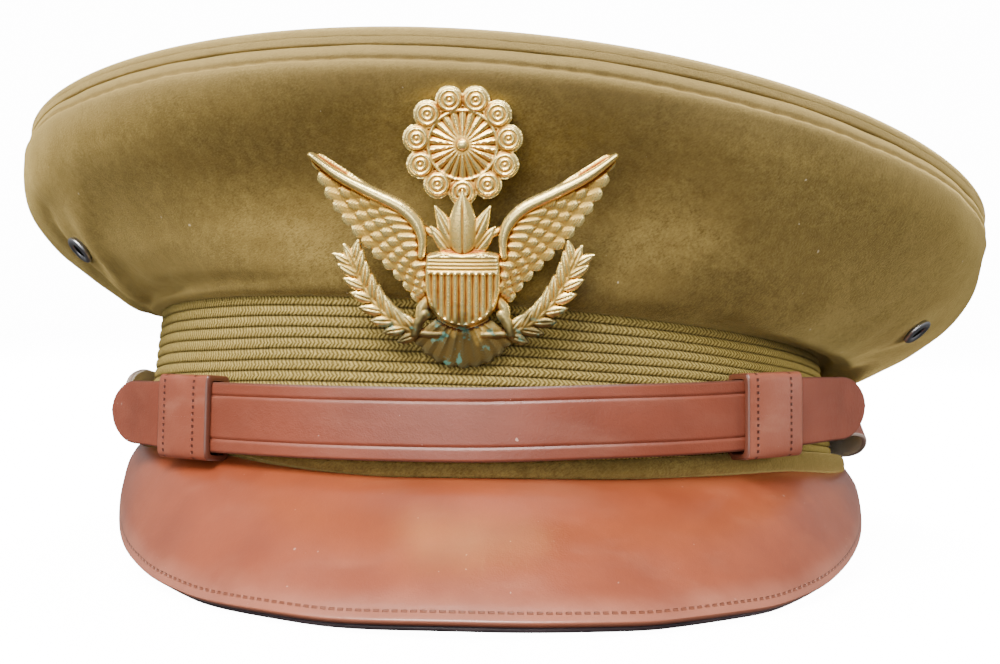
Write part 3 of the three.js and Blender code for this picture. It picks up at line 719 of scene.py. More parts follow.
STRAP_LEATHER = Leather(
    name="strap_leather",
    colour="884531",
    deep="773a27",
    wear_and_highlight="a0654f",
    roughness=0.44,
    coat=0.05,
    grain=0.00005,
    scuffs=0.2,
    edges=(None, 7.45),
)
UNDER_LEATHER = Leather(
    name="under_leather",
    colour="914c38",
    deep="7f3f2c",
    wear_and_highlight="a86f5a",
    coat=0.2,
    scuffs=0.12,
    flesh="efe6e0",
    cut="c4aea2",
    edges=(None, 6.1),
)
KEEPER_LEATHER = Leather(
    name="keeper_leather",
    colour="9d5a45",
    deep="84432f",
    wear_and_highlight="b9806a",
    roughness=0.34,
    scuffs=0.3,
    rows=(StitchRow(-6.0, 1.42, 0.62, True, 0.42), StitchRow(4.4, 1.42, 0.62, True, 0.42)),
    thread="4a1d10",
    edges=(8.3, None),
)
PEAK_LEATHER = Leather(
    name="peak_leather",
    colour="a04f2e",
    deep="8a4024",
    wear_and_highlight="b87858",
    coat=0.85,
    scuffs=0.16,
    rows=(StitchRow(2.2),),
    thread="7c4128",
    # pale band by the edge: partly rubbed wear, partly a painted highlight
    edge_wear_and_highlight="d9a48f",
)
LINING_LEATHER = Leather(
    name="dark_leather", colour="4e4044", deep="383034", wear_and_highlight="6a5a5c", roughness=0.45, coat=0.1
)


# The cap


@dataclass(frozen=True)
class BandPlan:
    """The oval that the whole cap is built around, and the tilts of band and crown."""

    half_width: float = 92.0
    half_length: float = 108.0
    taper: float = 4.0
    height: float = 37.5
    lean: float = 3.6
    gap: float = 0.3
    crown_lean: float = 4.6
    crown_shift: float = 0.7
    climb_left: float = 6.4
    climb_right: float = 2.6

    def point(self, t: np.ndarray, offset: np.ndarray, z: np.ndarray) -> Points:
        """A point at bearing t from the front, out from the braid's face and up.

        Args:
            t: Bearings in radians, 0 at the peak and growing towards +X.
            offset: Outwards in millimetres.
            z: Height in millimetres.

        Returns:
            Points of the cap's frame.
        """
        share = z / self.height
        x = (self.half_width - self.taper * share + offset) * np.sin(t)
        y = -(self.half_length - self.taper * share + offset) * np.cos(t)
        drop = np.maximum(0.0, share) * x * math.tan(math.radians(self.lean))
        return np.stack([x, y, z - drop], axis=1)

    def tip(self, points: Points, degrees: np.ndarray | float, shift: np.ndarray | float) -> Points:
        """Leans points about the cap's long axis at the band's top, +X going down.

        Args:
            points: Points of the cap's frame.
            degrees: How far each leans.
            shift: How far each is moved to +X.

        Returns:
            The leaning points.
        """
        angle = np.radians(degrees)
        x, rise = points[:, 0], points[:, 2] - self.height
        across = x * np.cos(angle) + rise * np.sin(angle) + shift
        z = self.height + rise * np.cos(angle) - x * np.sin(angle)
        return np.stack([across, points[:, 1], z], axis=1)

    def climb(self, t: np.ndarray) -> np.ndarray:
        """How far the seam between band and peak climbs, more on the left than on the right.

        Args:
            t: Bearings in radians.

        Returns:
            Millimetres upwards.
        """
        degrees = np.degrees(t)
        left = self.climb_left * smooth(-degrees, 10, 56) * smooth(-degrees, 112, 88)
        right = self.climb_right * smooth(degrees, 14, 50) * smooth(degrees, 112, 88)
        return left + right


PLAN = BandPlan()

# millimetres that a radian or degree of bearing and a section row stand for on the crown
CROWN_RADIUS = 118.0
CROWN_DEGREE = 2.05
CROWN_ROW = 7.0
# spacing of the rim seam's stitches, in millimetres
RIM_STITCH = 2.6


def ring_point(t: np.ndarray, reach: Sequence[Number], heights: Sequence[Number]) -> Points:
    """A point of a ring that differs at side, front and back.

    Args:
        t: Bearings in radians.
        reach: Half width, front reach and back reach.
        heights: Heights at the side, front and back.

    Returns:
        Points of the cap's frame.
    """
    cos = np.cos(t)
    along = np.where(cos > 0, reach[1], reach[2])
    front, back = np.maximum(0.0, cos) ** 1.6, np.maximum(0.0, -cos) ** 1.6
    z = heights[0] + (heights[1] - heights[0]) * front + (heights[2] - heights[0]) * back
    return np.stack([reach[0] * np.sin(t), -along * cos, z], axis=1)


def full_turn(share: np.ndarray) -> np.ndarray:
    """Bearings of a closed ring, its seam at the back."""
    return 2 * math.pi * share - math.pi


@dataclass
class Fold:
    """A soft ridge or hollow of the crown between two places, in bearing degrees and section rows."""

    start: tuple[float, float]
    end: tuple[float, float]
    width: float
    height: float

    def lift(self, t: np.ndarray, s: np.ndarray) -> np.ndarray:
        """How far the fold lifts the cloth at each place.

        Args:
            t: Bearings in radians.
            s: Section rows.

        Returns:
            Millimetres outwards.
        """
        scale = np.array([CROWN_DEGREE, CROWN_ROW])
        a, b = np.degrees(t) * CROWN_DEGREE, s * CROWN_ROW
        p, q = np.array(self.start) * scale, np.array(self.end) * scale
        run = q - p
        share = np.clip(((a - p[0]) * run[0] + (b - p[1]) * run[1]) / (run @ run), 0.0, 1.0)
        off = np.hypot(a - p[0] - share * run[0], b - p[1] - share * run[1])
        return self.height * np.exp(-((off / self.width) ** 2)) * (0.55 + 0.45 * np.sin(math.pi * share))


@dataclass
class Crown:
    """The soft crown: one flared wall, a corded rim seam, the top panel and two eyelets."""

    # half width, front and back of the rim, and the seam's height at side, front and back
    rim_reach: tuple[float, float, float] = (128.0, 121.4, 130.0)
    seam: tuple[float, float, float] = (74.0, 87.0, 62.0)
    cloth: float = 1.6
    # height of a section row by the seam, and how far below it the stitched groove runs
    seam_row: float = 5.2
    groove: float = 3.5
    groove_depth: float = 0.9
    cord: float = 1.15
    cord_seat: float = 0.12
    roll_rise: float = 4.6
    roll_inset: float = 4.8
    # inset and rise of the roll from the seam to just before its crest
    roll_arc: Table = ((-0.1, 1.5), (-0.25, 2.2), (0.0, 3.1), (0.9, 3.95), (2.5, 4.5))
    sag: float = 5.0
    # size of the panel's rings and how much of the crest's height each keeps
    panel: Table = ((1.0, 1.0), (0.94, 0.985), (0.8, 0.86), (0.58, 0.58), (0.0, 0.0))
    eyelet_row: float = 5.0
    eyelet_bearing: float = math.radians(66)
    # the cloth lies flat from the first distance round an eyelet to the second
    eyelet_calm: tuple[float, float] = (4.0, 12.0)
    # side out, side rise, front out, front rise, back out, back rise, lean in degrees
    rows: Table = (
        (-0.087, -0.03, -0.161, -0.024, -0.118, -0.04, 3.6),
        (0.07, -0.008, 0.065, -0.008, 0.085, -0.01, 3.6),
        (0.115, -0.03, 0.172, 0.042, 0.15, -0.02, 4.6),
        (0.255, -0.05, 0.183, 0.105, 0.3, 0.02, 5.4),
        (0.472, 0.065, 0.12, 0.206, 0.49, 0.14, 5.2),
        (0.657, 0.195, 0.03, 0.32, 0.667, 0.28, 5.0),
        (0.822, 0.345, 0.07, 0.463, 0.824, 0.44, 4.8),
        (0.95, 0.51, 0.43, 0.629, 0.935, 0.6, 4.6),
        (1.016, 0.685, 0.8, 0.78, 0.985, 0.76, 4.6),
        (1.022, 0.88, 1.03, 0.9, 1.0, 0.9, 4.6),
        (0.995, 1.0, 1.0, 1.0, 0.99, 1.0, 4.6),
    )
    # millimetres that the front stands forward on each side of the badge, row by row
    swell_left: tuple[float, ...] = (0, 0, 0, 0.2, 0.3, 1.2, 3.4, 4.2, 3.2, 1.6, 0)
    swell_right: tuple[float, ...] = (0, 0, 0.4, 1.8, 5.2, 8.6, 9.6, 6.8, 3.4, 1.6, 0)
    folds: tuple[Fold, ...] = (
        Fold((-69, 2.6), (-56, 6.1), 5.5, 2.0),
        Fold((-79, 2.8), (-67, 6.2), 4.5, -1.8),
        Fold((88, 2.1), (66, 3.7), 3.6, -1.1),
        Fold((66, 3.7), (72, 4.4), 3.4, -1.0),
        Fold((46, 3.2), (58, 4.6), 8.0, -1.6),
        Fold((40, 4.8), (58, 6.2), 9.0, -1.4),
        Fold((-42, 4.4), (-54, 6.4), 9.0, -1.0),
    )

    @property
    def top_row(self) -> float:
        """The section row at the rim seam."""
        return len(self.rows) - 1.0

    def wall_base(self, t: np.ndarray, s: np.ndarray) -> Points:
        """The wall's outer face without its folds, at bearing t and section row s.

        Args:
            t: Bearings in radians.
            s: Section rows.

        Returns:
            Points of the cap's frame.
        """
        row = through(self.rows, s)
        width, length = PLAN.half_width - PLAN.taper, PLAN.half_length - PLAN.taper
        rim_side, rim_front, rim_back = self.rim_reach
        degrees = np.degrees(t)
        left, right = through(np.stack([self.swell_left, self.swell_right], 1), s).T
        forward = np.where(degrees > 0, right * smooth(degrees, 8, 28), left * smooth(-degrees, 12, 38))
        reach = (
            lerp(width, rim_side, row[:, 0]),
            lerp(length, rim_front, row[:, 2]) + forward * smooth(np.abs(degrees), 88, 60),
            lerp(length, rim_back, row[:, 4]),
        )
        heights = [lerp(PLAN.height, top, row[:, k]) for top, k in zip(self.seam, (1, 3, 5))]
        shift = PLAN.crown_shift * smooth(row[:, 0], 0.1, 0.6)
        return PLAN.tip(ring_point(t, reach, heights), row[:, 6], shift)

    def wall_normal(self, t: np.ndarray, s: np.ndarray) -> np.ndarray:
        """The outward normal of the wall.

        Args:
            t: Bearings in radians.
            s: Section rows.

        Returns:
            Unit vectors.
        """
        around = self.wall_base(t + 0.02, s) - self.wall_base(t - 0.02, s)
        above, below = np.minimum(s + 0.08, self.top_row), np.maximum(s - 0.08, 0.0)
        return unit(np.cross(around, self.wall_base(t, above) - self.wall_base(t, below)))

    def build_wall(self) -> bpy.types.Object:
        """Models the wall with its stitched seam line and soft folds.

        Returns:
            The object.
        """
        top = self.top_row
        outer = np.concatenate([np.linspace(0, top - 1, 74), np.linspace(top - 0.96, top, 34)])
        inner = np.linspace(top, 0, 16)
        faces = [np.stack([outer, np.zeros_like(outer)], 1), np.stack([inner, np.ones_like(inner)], 1)]

        def shape(share: np.ndarray, row: np.ndarray) -> Points:
            """Bends the grid into the wall.

            Args:
                share: Place round the crown, 0 to 1.
                row: Section row, and 0 outside or 1 inside.

            Returns:
                Points of the cap's frame.
            """
            t, s, depth = full_turn(share), row[:, 0], row[:, 1]
            below = (top - s) * self.seam_row
            lift = -0.3 * smooth(below, 0.6, 0.0) + 0.25 * hump(below, 1.9, 1.0)
            pucker = 0.8 + 0.2 * np.sin(t * CROWN_RADIUS / RIM_STITCH * math.pi)
            groove = self.groove_depth * hump(below, self.groove, 0.5)
            lift = lift - pucker * groove + 0.25 * hump(below, 5.2, 1.3)
            aside, above = np.abs(t) - self.eyelet_bearing, s - self.eyelet_row
            apart = smooth(np.hypot(aside * CROWN_RADIUS, above * CROWN_ROW), *self.eyelet_calm)
            for fold in self.folds:
                lift = lift + fold.lift(t, s) * apart
            loose = smooth(s, 1.2, 3.0) * smooth(s, 9.9, 8.4)
            around, upwards = t * CROWN_RADIUS, s * CROWN_ROW
            lift = lift + 0.45 * loose * wander(around / 55, upwards / 40, 11) * apart
            lift = lift + 0.14 * smooth(s, 1.0, 2.0) * wander(around / 14, upwards / 16, 12)
            normal = self.wall_normal(t, s)
            points = self.wall_base(t, s) + normal * lift[:, None] * (depth[:, None] < 0.5)
            return points - normal * (depth * self.cloth)[:, None]

        return Form("crown_wall_cloth", 460, np.concatenate(faces)).build(shape, self.marks)

    def marks(self, share: np.ndarray, row: np.ndarray) -> tuple[np.ndarray, np.ndarray]:
        """Lengths round the crown and up its section."""
        return full_turn(share) * CROWN_RADIUS, row[:, 0] * CROWN_ROW

    def rim(self, t: np.ndarray, inset: np.ndarray, rise: np.ndarray) -> Points:
        """A point in from and above the rim seam.

        Args:
            t: Bearings in radians.
            inset: Inwards from the seam in millimetres.
            rise: Above it in millimetres.

        Returns:
            Points of the cap's frame.
        """
        reach = [size - inset for size in self.rim_reach]
        ring = ring_point(t, reach, [z + rise for z in self.seam])
        return PLAN.tip(ring, PLAN.crown_lean, PLAN.crown_shift)

    def build_welt(self) -> bpy.types.Object:
        """Models the corded welt of the rim seam.

        Returns:
            The object.
        """
        angle = np.linspace(0, 2 * math.pi, 21)[:-1]

        def shape(share: np.ndarray, row: np.ndarray) -> Points:
            """Bends the grid into the cord.

            Args:
                share: Place round the crown, 0 to 1.
                row: Angle round the cord.

            Returns:
                Points of the cap's frame.
            """
            t = full_turn(share)
            swell = self.cord + 0.04 * wander(t * CROWN_RADIUS / 9, row[:, 0] * 0, 21)
            out, up = boxed(np.cos(row[:, 0]), 0.5), boxed(np.sin(row[:, 0]), 0.5)
            return self.rim(t, 0.98 - swell * out, self.cord + self.cord_seat + 1.12 * swell * up)

        return Form("crown_welt_cord", 460, angle[:, None]).build(shape, self.marks)

    def build_top(self) -> bpy.types.Object:
        """Models the top panel: a roll over the seam that sinks to the middle.

        Returns:
            The object.
        """
        roll = [(0.0, k) for k in np.linspace(0, 5, 30)]
        sink = [(1.0, k) for k in np.linspace(0, 4, 34)[1:]]
        under = [(2.0, k) for k in (4.0, 3.0, 2.0, 1.0, 0.0)]
        hem = [(3.0, 1.0), (3.0, 0.0)]
        stations = np.array(roll + sink + under + hem)
        crest = [z + self.roll_rise for z in self.seam]
        middle = (crest[1] + crest[2]) / 2 - self.sag
        arc = [*self.roll_arc, (self.roll_inset, self.roll_rise)]

        def shape(share: np.ndarray, row: np.ndarray) -> Points:
            """Bends the grid into roll, panel, back and hem.

            Args:
                share: Place round the crown, 0 to 1.
                row: Kind of face, and place on it.

            Returns:
                Points of the cap's frame.
            """
            t, kind, k = full_turn(share), row[:, 0], row[:, 1]
            inset, rise = through(arc, k).T
            lip = 0.3 + 0.07 * np.sin(t * CROWN_RADIUS / RIM_STITCH * math.pi)
            rolled = self.rim(t, inset + lip * smooth(k, 0.45, 0.0), rise)
            size, settle = through(self.panel, k).T
            reach = [(r - self.roll_inset) * size for r in self.rim_reach]
            heights = [lerp(middle, z, settle) for z in crest]
            flat = PLAN.tip(ring_point(t, reach, heights), PLAN.crown_lean, PLAN.crown_shift)
            wave = wander(flat[:, 0] / 70, flat[:, 1] / 70, 31) * 0.5 * smooth(1 - size, 0.02, 0.25)
            flat[:, 2] += wave - self.cloth * (kind == 2)
            hem = self.rim(t, inset + self.cloth, rise - 0.2)
            return np.where((kind == 0)[:, None], rolled, np.where((kind == 3)[:, None], hem, flat))

        return Form("crown_top_cloth", 420, stations).build(shape, self.marks)

    def eyelet_seat(self, side: Side) -> Matrix:
        """Where an eyelet sits on the wall."""
        t, s = np.array([side.value * self.eyelet_bearing]), np.array([self.eyelet_row])
        return facing(self.wall_base(t, s)[0], self.wall_normal(t, s)[0])

    def build_eyelet(self, side: Side) -> bpy.types.Object:
        """Models one vent eyelet: a rolled metal ring round a near-black disc of painted shade.

        Args:
            side: Side of the cap.

        Returns:
            The object.
        """
        turns = np.linspace(-0.4, math.pi, 9)
        rim = [(3.9 - 0.9 * (1 - math.cos(a)), 0.55 + 0.75 * math.sin(a)) for a in turns]
        profile = [(3.6, -1.2), (3.7, 0.1), *rim, (1.95, 0.3), (1.9, -1.6), (3.6, -1.6), (3.6, -1.2)]
        return turned(f"eyelet_{side.word}_ring", profile, self.eyelet_seat(side), 40)

    def build_vent(self, side: Side) -> bpy.types.Object:
        """Models the near-black disc that backs an eyelet's bore, painted shade for the dark inside of the
        cap.
        """
        profile = [(0.0, 0.9), (1.2, 0.85), (2.0, 0.75), (2.0, -0.6), (0.0, -0.6)]
        return turned(f"eyelet_{side.word}_gauze", profile, self.eyelet_seat(side), 24)

    def make(
        self,
        wool: bpy.types.Material,
        painted_highlight: bpy.types.Material,
        metal: bpy.types.Material,
        dark: bpy.types.Material,
    ) -> None:
        """Builds and dresses every piece of the crown.

        Args:
            wool: Finish of the wall's cloth, lighter near the seam by a painted highlight.
            painted_highlight: Finish of the cloth at the rim and on top, lighter all over by a painted
                highlight.
            metal: Finish of the eyelets.
            dark: Finish of the near-black discs in their bores, painted shade.
        """
        dress(self.build_wall(), wool, "olive_cloth", "crown_wall")
        # the welt and the top panel take the wool with a painted highlight all over
        dress(self.build_welt(), painted_highlight, "olive_cloth", "crown_welt")
        dress(self.build_top(), painted_highlight, "olive_cloth", "crown_top")
        for side in Side:
            dress(self.build_eyelet(side), metal, "eyelet_metal", f"eyelet_{side.word}")
            dress(self.build_vent(side), dark, "eyelet_metal")


@dataclass
class HeadBand:
    """The stiff band with its rolled lower edge, and the ribbed braid round it."""

    braid_thickness: float = 1.6
    core_thickness: float = 2.0
    rib_depth: float = 0.65
    ribs: int = 15
    roll: float = 3.4
    bottom: float = -1.6
    top_gap: float = 0.6
    # how much taller than its plain section the roll is, and what it gains at its fattest
    roll_stretch: float = 1.34
    roll_gain: float = 0.22
    # how far the roll swells where the seam climbs, and at its fattest
    roll_swell: tuple[float, float] = (1.1, 1.5)
    # millimetres that a radian of bearing stands for
    radius: float = 100.0

    def build_core(self) -> bpy.types.Object:
        """Models the band's wall and the roll below the braid.

        Returns:
            The object.
        """
        face = -(self.braid_thickness + PLAN.gap)
        turn = np.linspace(-math.pi / 2, math.pi / 2, 15)
        roll = np.stack([-1.1 + 1.1 * np.cos(turn), self.roll / 2 + self.roll / 2 * np.sin(turn)], 1)
        inner = face - self.core_thickness
        top = PLAN.height
        wall = [[face, self.roll], [face, top], [inner + 0.3, top], [inner, top - 0.4]]
        skirt = [[inner, 20.0], [inner, 1.0], [inner, self.bottom], [face, self.bottom], [face, 0.0]]
        stations = np.vstack([roll, np.array(wall), np.array(skirt)])

        def shape(share: np.ndarray, row: np.ndarray) -> Points:
            """Bends the grid into band and roll.

            Args:
                share: Place round the band, 0 to 1.
                row: Outwards from the braid's face, and height.

            Returns:
                Points of the cap's frame.
            """
            t = full_turn(share)
            rolled = (row[:, 0] > face + 0.1) & (row[:, 1] <= self.roll)
            out = row[:, 0] + rolled * (0.16 * wander(t * self.radius / 40, row[:, 1] / 30, 41) + 0.4)
            fat = smooth(np.degrees(t), 14, 60) * smooth(np.degrees(t), 120, 90)
            swell = self.roll_swell[0] * smooth(PLAN.climb(t), 0.0, 1.5) + self.roll_swell[1] * fat
            out = out + rolled * swell * (out > face)
            stretch = np.where(rolled, self.roll_stretch + self.roll_gain * fat, 1.0)
            return PLAN.point(t, out, row[:, 1] * stretch + rolled * PLAN.climb(t))

        return Form("band_core_cloth", 300, stations).build(shape, self.marks)

    def marks(self, share: np.ndarray, row: np.ndarray) -> tuple[np.ndarray, np.ndarray]:
        """Lengths round the band and up its section."""
        return full_turn(share) * self.radius, row[:, 1]

    def build_braid(self) -> bpy.types.Object:
        """Models the braid rib by rib.

        Returns:
            The object.
        """
        bottom, top = self.roll + PLAN.gap, PLAN.height - self.top_gap
        pitch = (top - bottom) / self.ribs
        rib = np.linspace(0, 1, 9)[:-1]
        stations = [
            [-self.rib_depth * (1 - math.sqrt(max(0.0, 1 - (2 * f - 1) ** 2))), bottom + pitch * (i + f)]
            for i in range(self.ribs)
            for f in rib
        ]
        stations += [[-self.rib_depth, top], [-self.braid_thickness, top], [-self.braid_thickness, bottom]]

        def shape(share: np.ndarray, row: np.ndarray) -> Points:
            """Bends the grid into the braid.

            Args:
                share: Place round the band, 0 to 1.
                row: Outwards from the braid's face, and height.

            Returns:
                Points of the cap's frame.
            """
            t = full_turn(share)
            drift = 0.12 * wander(t * self.radius / 45, row[:, 1] / 25, 42)
            return PLAN.point(t, row[:, 0], np.clip(row[:, 1] + drift, bottom, top))

        return Form("braid_ribs", 380, np.array(stations)).build(shape, self.marks)

    def make(self, wool: bpy.types.Material, braid: bpy.types.Material) -> None:
        """Builds and dresses the band.

        Args:
            wool: Finish of the band's cloth.
            braid: Finish of the braid.
        """
        dress(self.build_core(), wool, "olive_cloth", "band_core")
        dress(self.build_braid(), braid, "olive_braid", "braid")


@dataclass
class Peak:
    """The leather peak and its darker underside."""

    half_width: float = 93.5
    tip: float = 145.0
    root: float = 15.0
    drop: float = 26.3
    bearing: float = 82.0
    leather: float = 1.5
    lining: float = 1.1
    bulge: float = 2.4
    shift: float = 0.7
    # how far the root stands off the band in front and beside, and is tucked in at its ends
    seat: tuple[float, float] = (-0.6, 0.8)
    tuck: float = 1.1
    # how far the edge is drawn in at its ends
    hug: float = 2.0
    # crowds the columns a little towards both ends
    ease: float = 0.96
    # length round the peak's half, and its width at the side, gained in front and lost in between
    length: float = 178.0
    widths: tuple[float, float, float] = (34.0, 6.0, 14.0)
    groove: float = 2.2
    # degrees along the edge, and the drop there as a share of the drop in front
    edge_degrees: tuple[float, ...] = (0, 20, 39, 50, 60, 70, 80, 90)
    edge_shares: tuple[float, ...] = (1, 1.005, 0.94, 0.83, 0.665, 0.46, 0.12, -0.26)

    def edge_drop(self, degrees: np.ndarray) -> np.ndarray:
        """The outer edge's drop, eased between the table's points.

        Args:
            degrees: Degrees along the edge, 0 in front.

        Returns:
            The drop as a share of the drop in front.
        """
        keys, values = np.array([self.edge_degrees, self.edge_shares])
        spots = np.concatenate([-keys[::-1], keys[1:]])
        levels = np.concatenate([values[::-1], values[1:]])
        steps = np.linspace(-5, 5, 11)
        weight = np.exp(-((steps / 3.0) ** 2))
        inside = [np.interp(np.clip(degrees + d, -90, 90), spots, levels) for d in steps]
        eased = sum(w * v for w, v in zip(weight, inside)) / weight.sum()
        return np.where(np.abs(degrees) > 85, np.interp(degrees, spots, levels), eased)

    def surface(self, u: np.ndarray, share: np.ndarray) -> Points:
        """The top face at u from -1 to 1 across and share from root to edge.

        Args:
            u: Place across the peak.
            share: Place from root to edge.

        Returns:
            Points of the cap's frame.
        """
        t, sweep = np.radians(self.bearing * u), np.radians(90 * u)
        degrees = np.abs(self.bearing * u)
        out = lerp(*self.seat, smooth(degrees, 30, 50)) - self.tuck * smooth(degrees, 70, 82)
        root = PLAN.point(t, out, np.zeros_like(u))
        root[:, 2] = -0.1 + PLAN.climb(t) + smooth(degrees, 60, 82) * (1.2 - 0.6 * np.sign(u))
        hug = self.hug * smooth(np.abs(u), 0.9, 1.0)
        edge = np.stack(
            [
                self.half_width * np.sin(sweep) + self.shift * np.cos(sweep / 2) - hug * np.sign(u),
                -self.root - (self.tip - self.root) * np.cos(sweep),
                -self.drop * self.edge_drop(90 * u),
            ],
            axis=1,
        )
        arch = self.bulge * np.sin(math.pi * np.clip(share, 0, 1) ** 0.8) * np.cos(sweep * 0.8)
        lift = np.stack([0.55 * arch * np.sin(sweep), -0.55 * arch * np.cos(sweep), 0.8 * arch], axis=1)
        return root + (edge - root) * share[:, None] + lift

    def normal(self, u: np.ndarray, share: np.ndarray) -> np.ndarray:
        """The upward normal of the top face.

        Args:
            u: Place across the peak.
            share: Place from root to edge.

        Returns:
            Unit vectors.
        """
        low, high = np.clip(share - 0.02, 0, 1), np.clip(share + 0.02, 0, 1)
        down = self.surface(u, high) - self.surface(u, low)
        left, right = np.clip(u - 0.01, -1, 1), np.clip(u + 0.01, -1, 1)
        across = self.surface(right, share) - self.surface(left, share)
        return unit(np.cross(down, across))

    def spot(self, share: np.ndarray, span: float) -> np.ndarray:
        """Place across the peak, from -span to span."""
        return span * np.sin(math.pi / 2 * (2 * share - 1) * self.ease) / math.sin(math.pi / 2 * self.ease)

    def layer(self, name: str, top: float, thick: float, span: float, start: float) -> bpy.types.Object:
        """Models one layer of leather with a rounded edge.

        Args:
            name: The piece's name.
            top: Depth of its upper face below the peak's surface.
            thick: Its thickness.
            span: How much of the width it covers.
            start: Where it starts between root and edge.

        Returns:
            The object.
        """
        face = [(k, 0.0) for k in np.linspace(0, 0.97, 46)] + [(k, 0.0) for k in (0.977, 0.984, 0.99)]
        turns = np.linspace(1.2, -1.2, 7)
        rim = [(1 - 0.008 * (1 - math.cos(a)), 0.5 - 0.5 * math.sin(a)) for a in turns]
        back = [(k, 1.0) for k in np.linspace(0.99, 0, 20)]
        stations = np.array(face + rim + back)

        def shape(share: np.ndarray, row: np.ndarray) -> Points:
            """Bends the grid into the layer.

            Args:
                share: Place across the peak, 0 to 1.
                row: Place from root to edge, and depth.

            Returns:
                Points of the cap's frame.
            """
            u = self.spot(share, span)
            at = lerp(start, 1.0, row[:, 0])
            dent = 0.18 * wander(u * 3.2, at * 1.1, 51) * smooth(at, 0.05, 0.3)
            groove = -0.14 * hump((1 - at) * 38, self.groove, 0.5)
            lift = dent + groove * (row[:, 1] < 0.5) - top - thick * row[:, 1]
            return self.surface(u, at) + self.normal(u, at) * lift[:, None]

        def marks(share: np.ndarray, row: np.ndarray) -> tuple[np.ndarray, np.ndarray]:
            """Lengths round the peak and in from its edge.

            Args:
                share: Place across the peak, 0 to 1.
                row: Place from root to edge, and depth.

            Returns:
                Both lengths.
            """
            u = self.spot(share, span)
            front = np.cos(np.radians(90 * u))
            side, gain, loss = self.widths
            width = side + gain * front - loss * (1 - front) ** 2
            inwards = (1 - lerp(start, 1.0, row[:, 0])) * width
            return u * self.length, inwards + PLAIN_FACE * (row[:, 1] > 0.6)

        return Form(name, 360, stations).build(shape, marks)

    def make(self, leather: bpy.types.Material, dark: bpy.types.Material) -> None:
        """Builds and dresses the peak.

        Args:
            leather: Finish of the top.
            dark: Finish of the underside.
        """
        top = self.layer("peak_top_leather", 0.0, self.leather, 1.0, 0.0)
        dress(top, leather, "russet_leather", "peak_top")
        under = self.layer("peak_lining", self.leather + 0.3, self.lining, 0.94, 0.07)
        dress(under, dark, "dark_leather", "peak_underside")


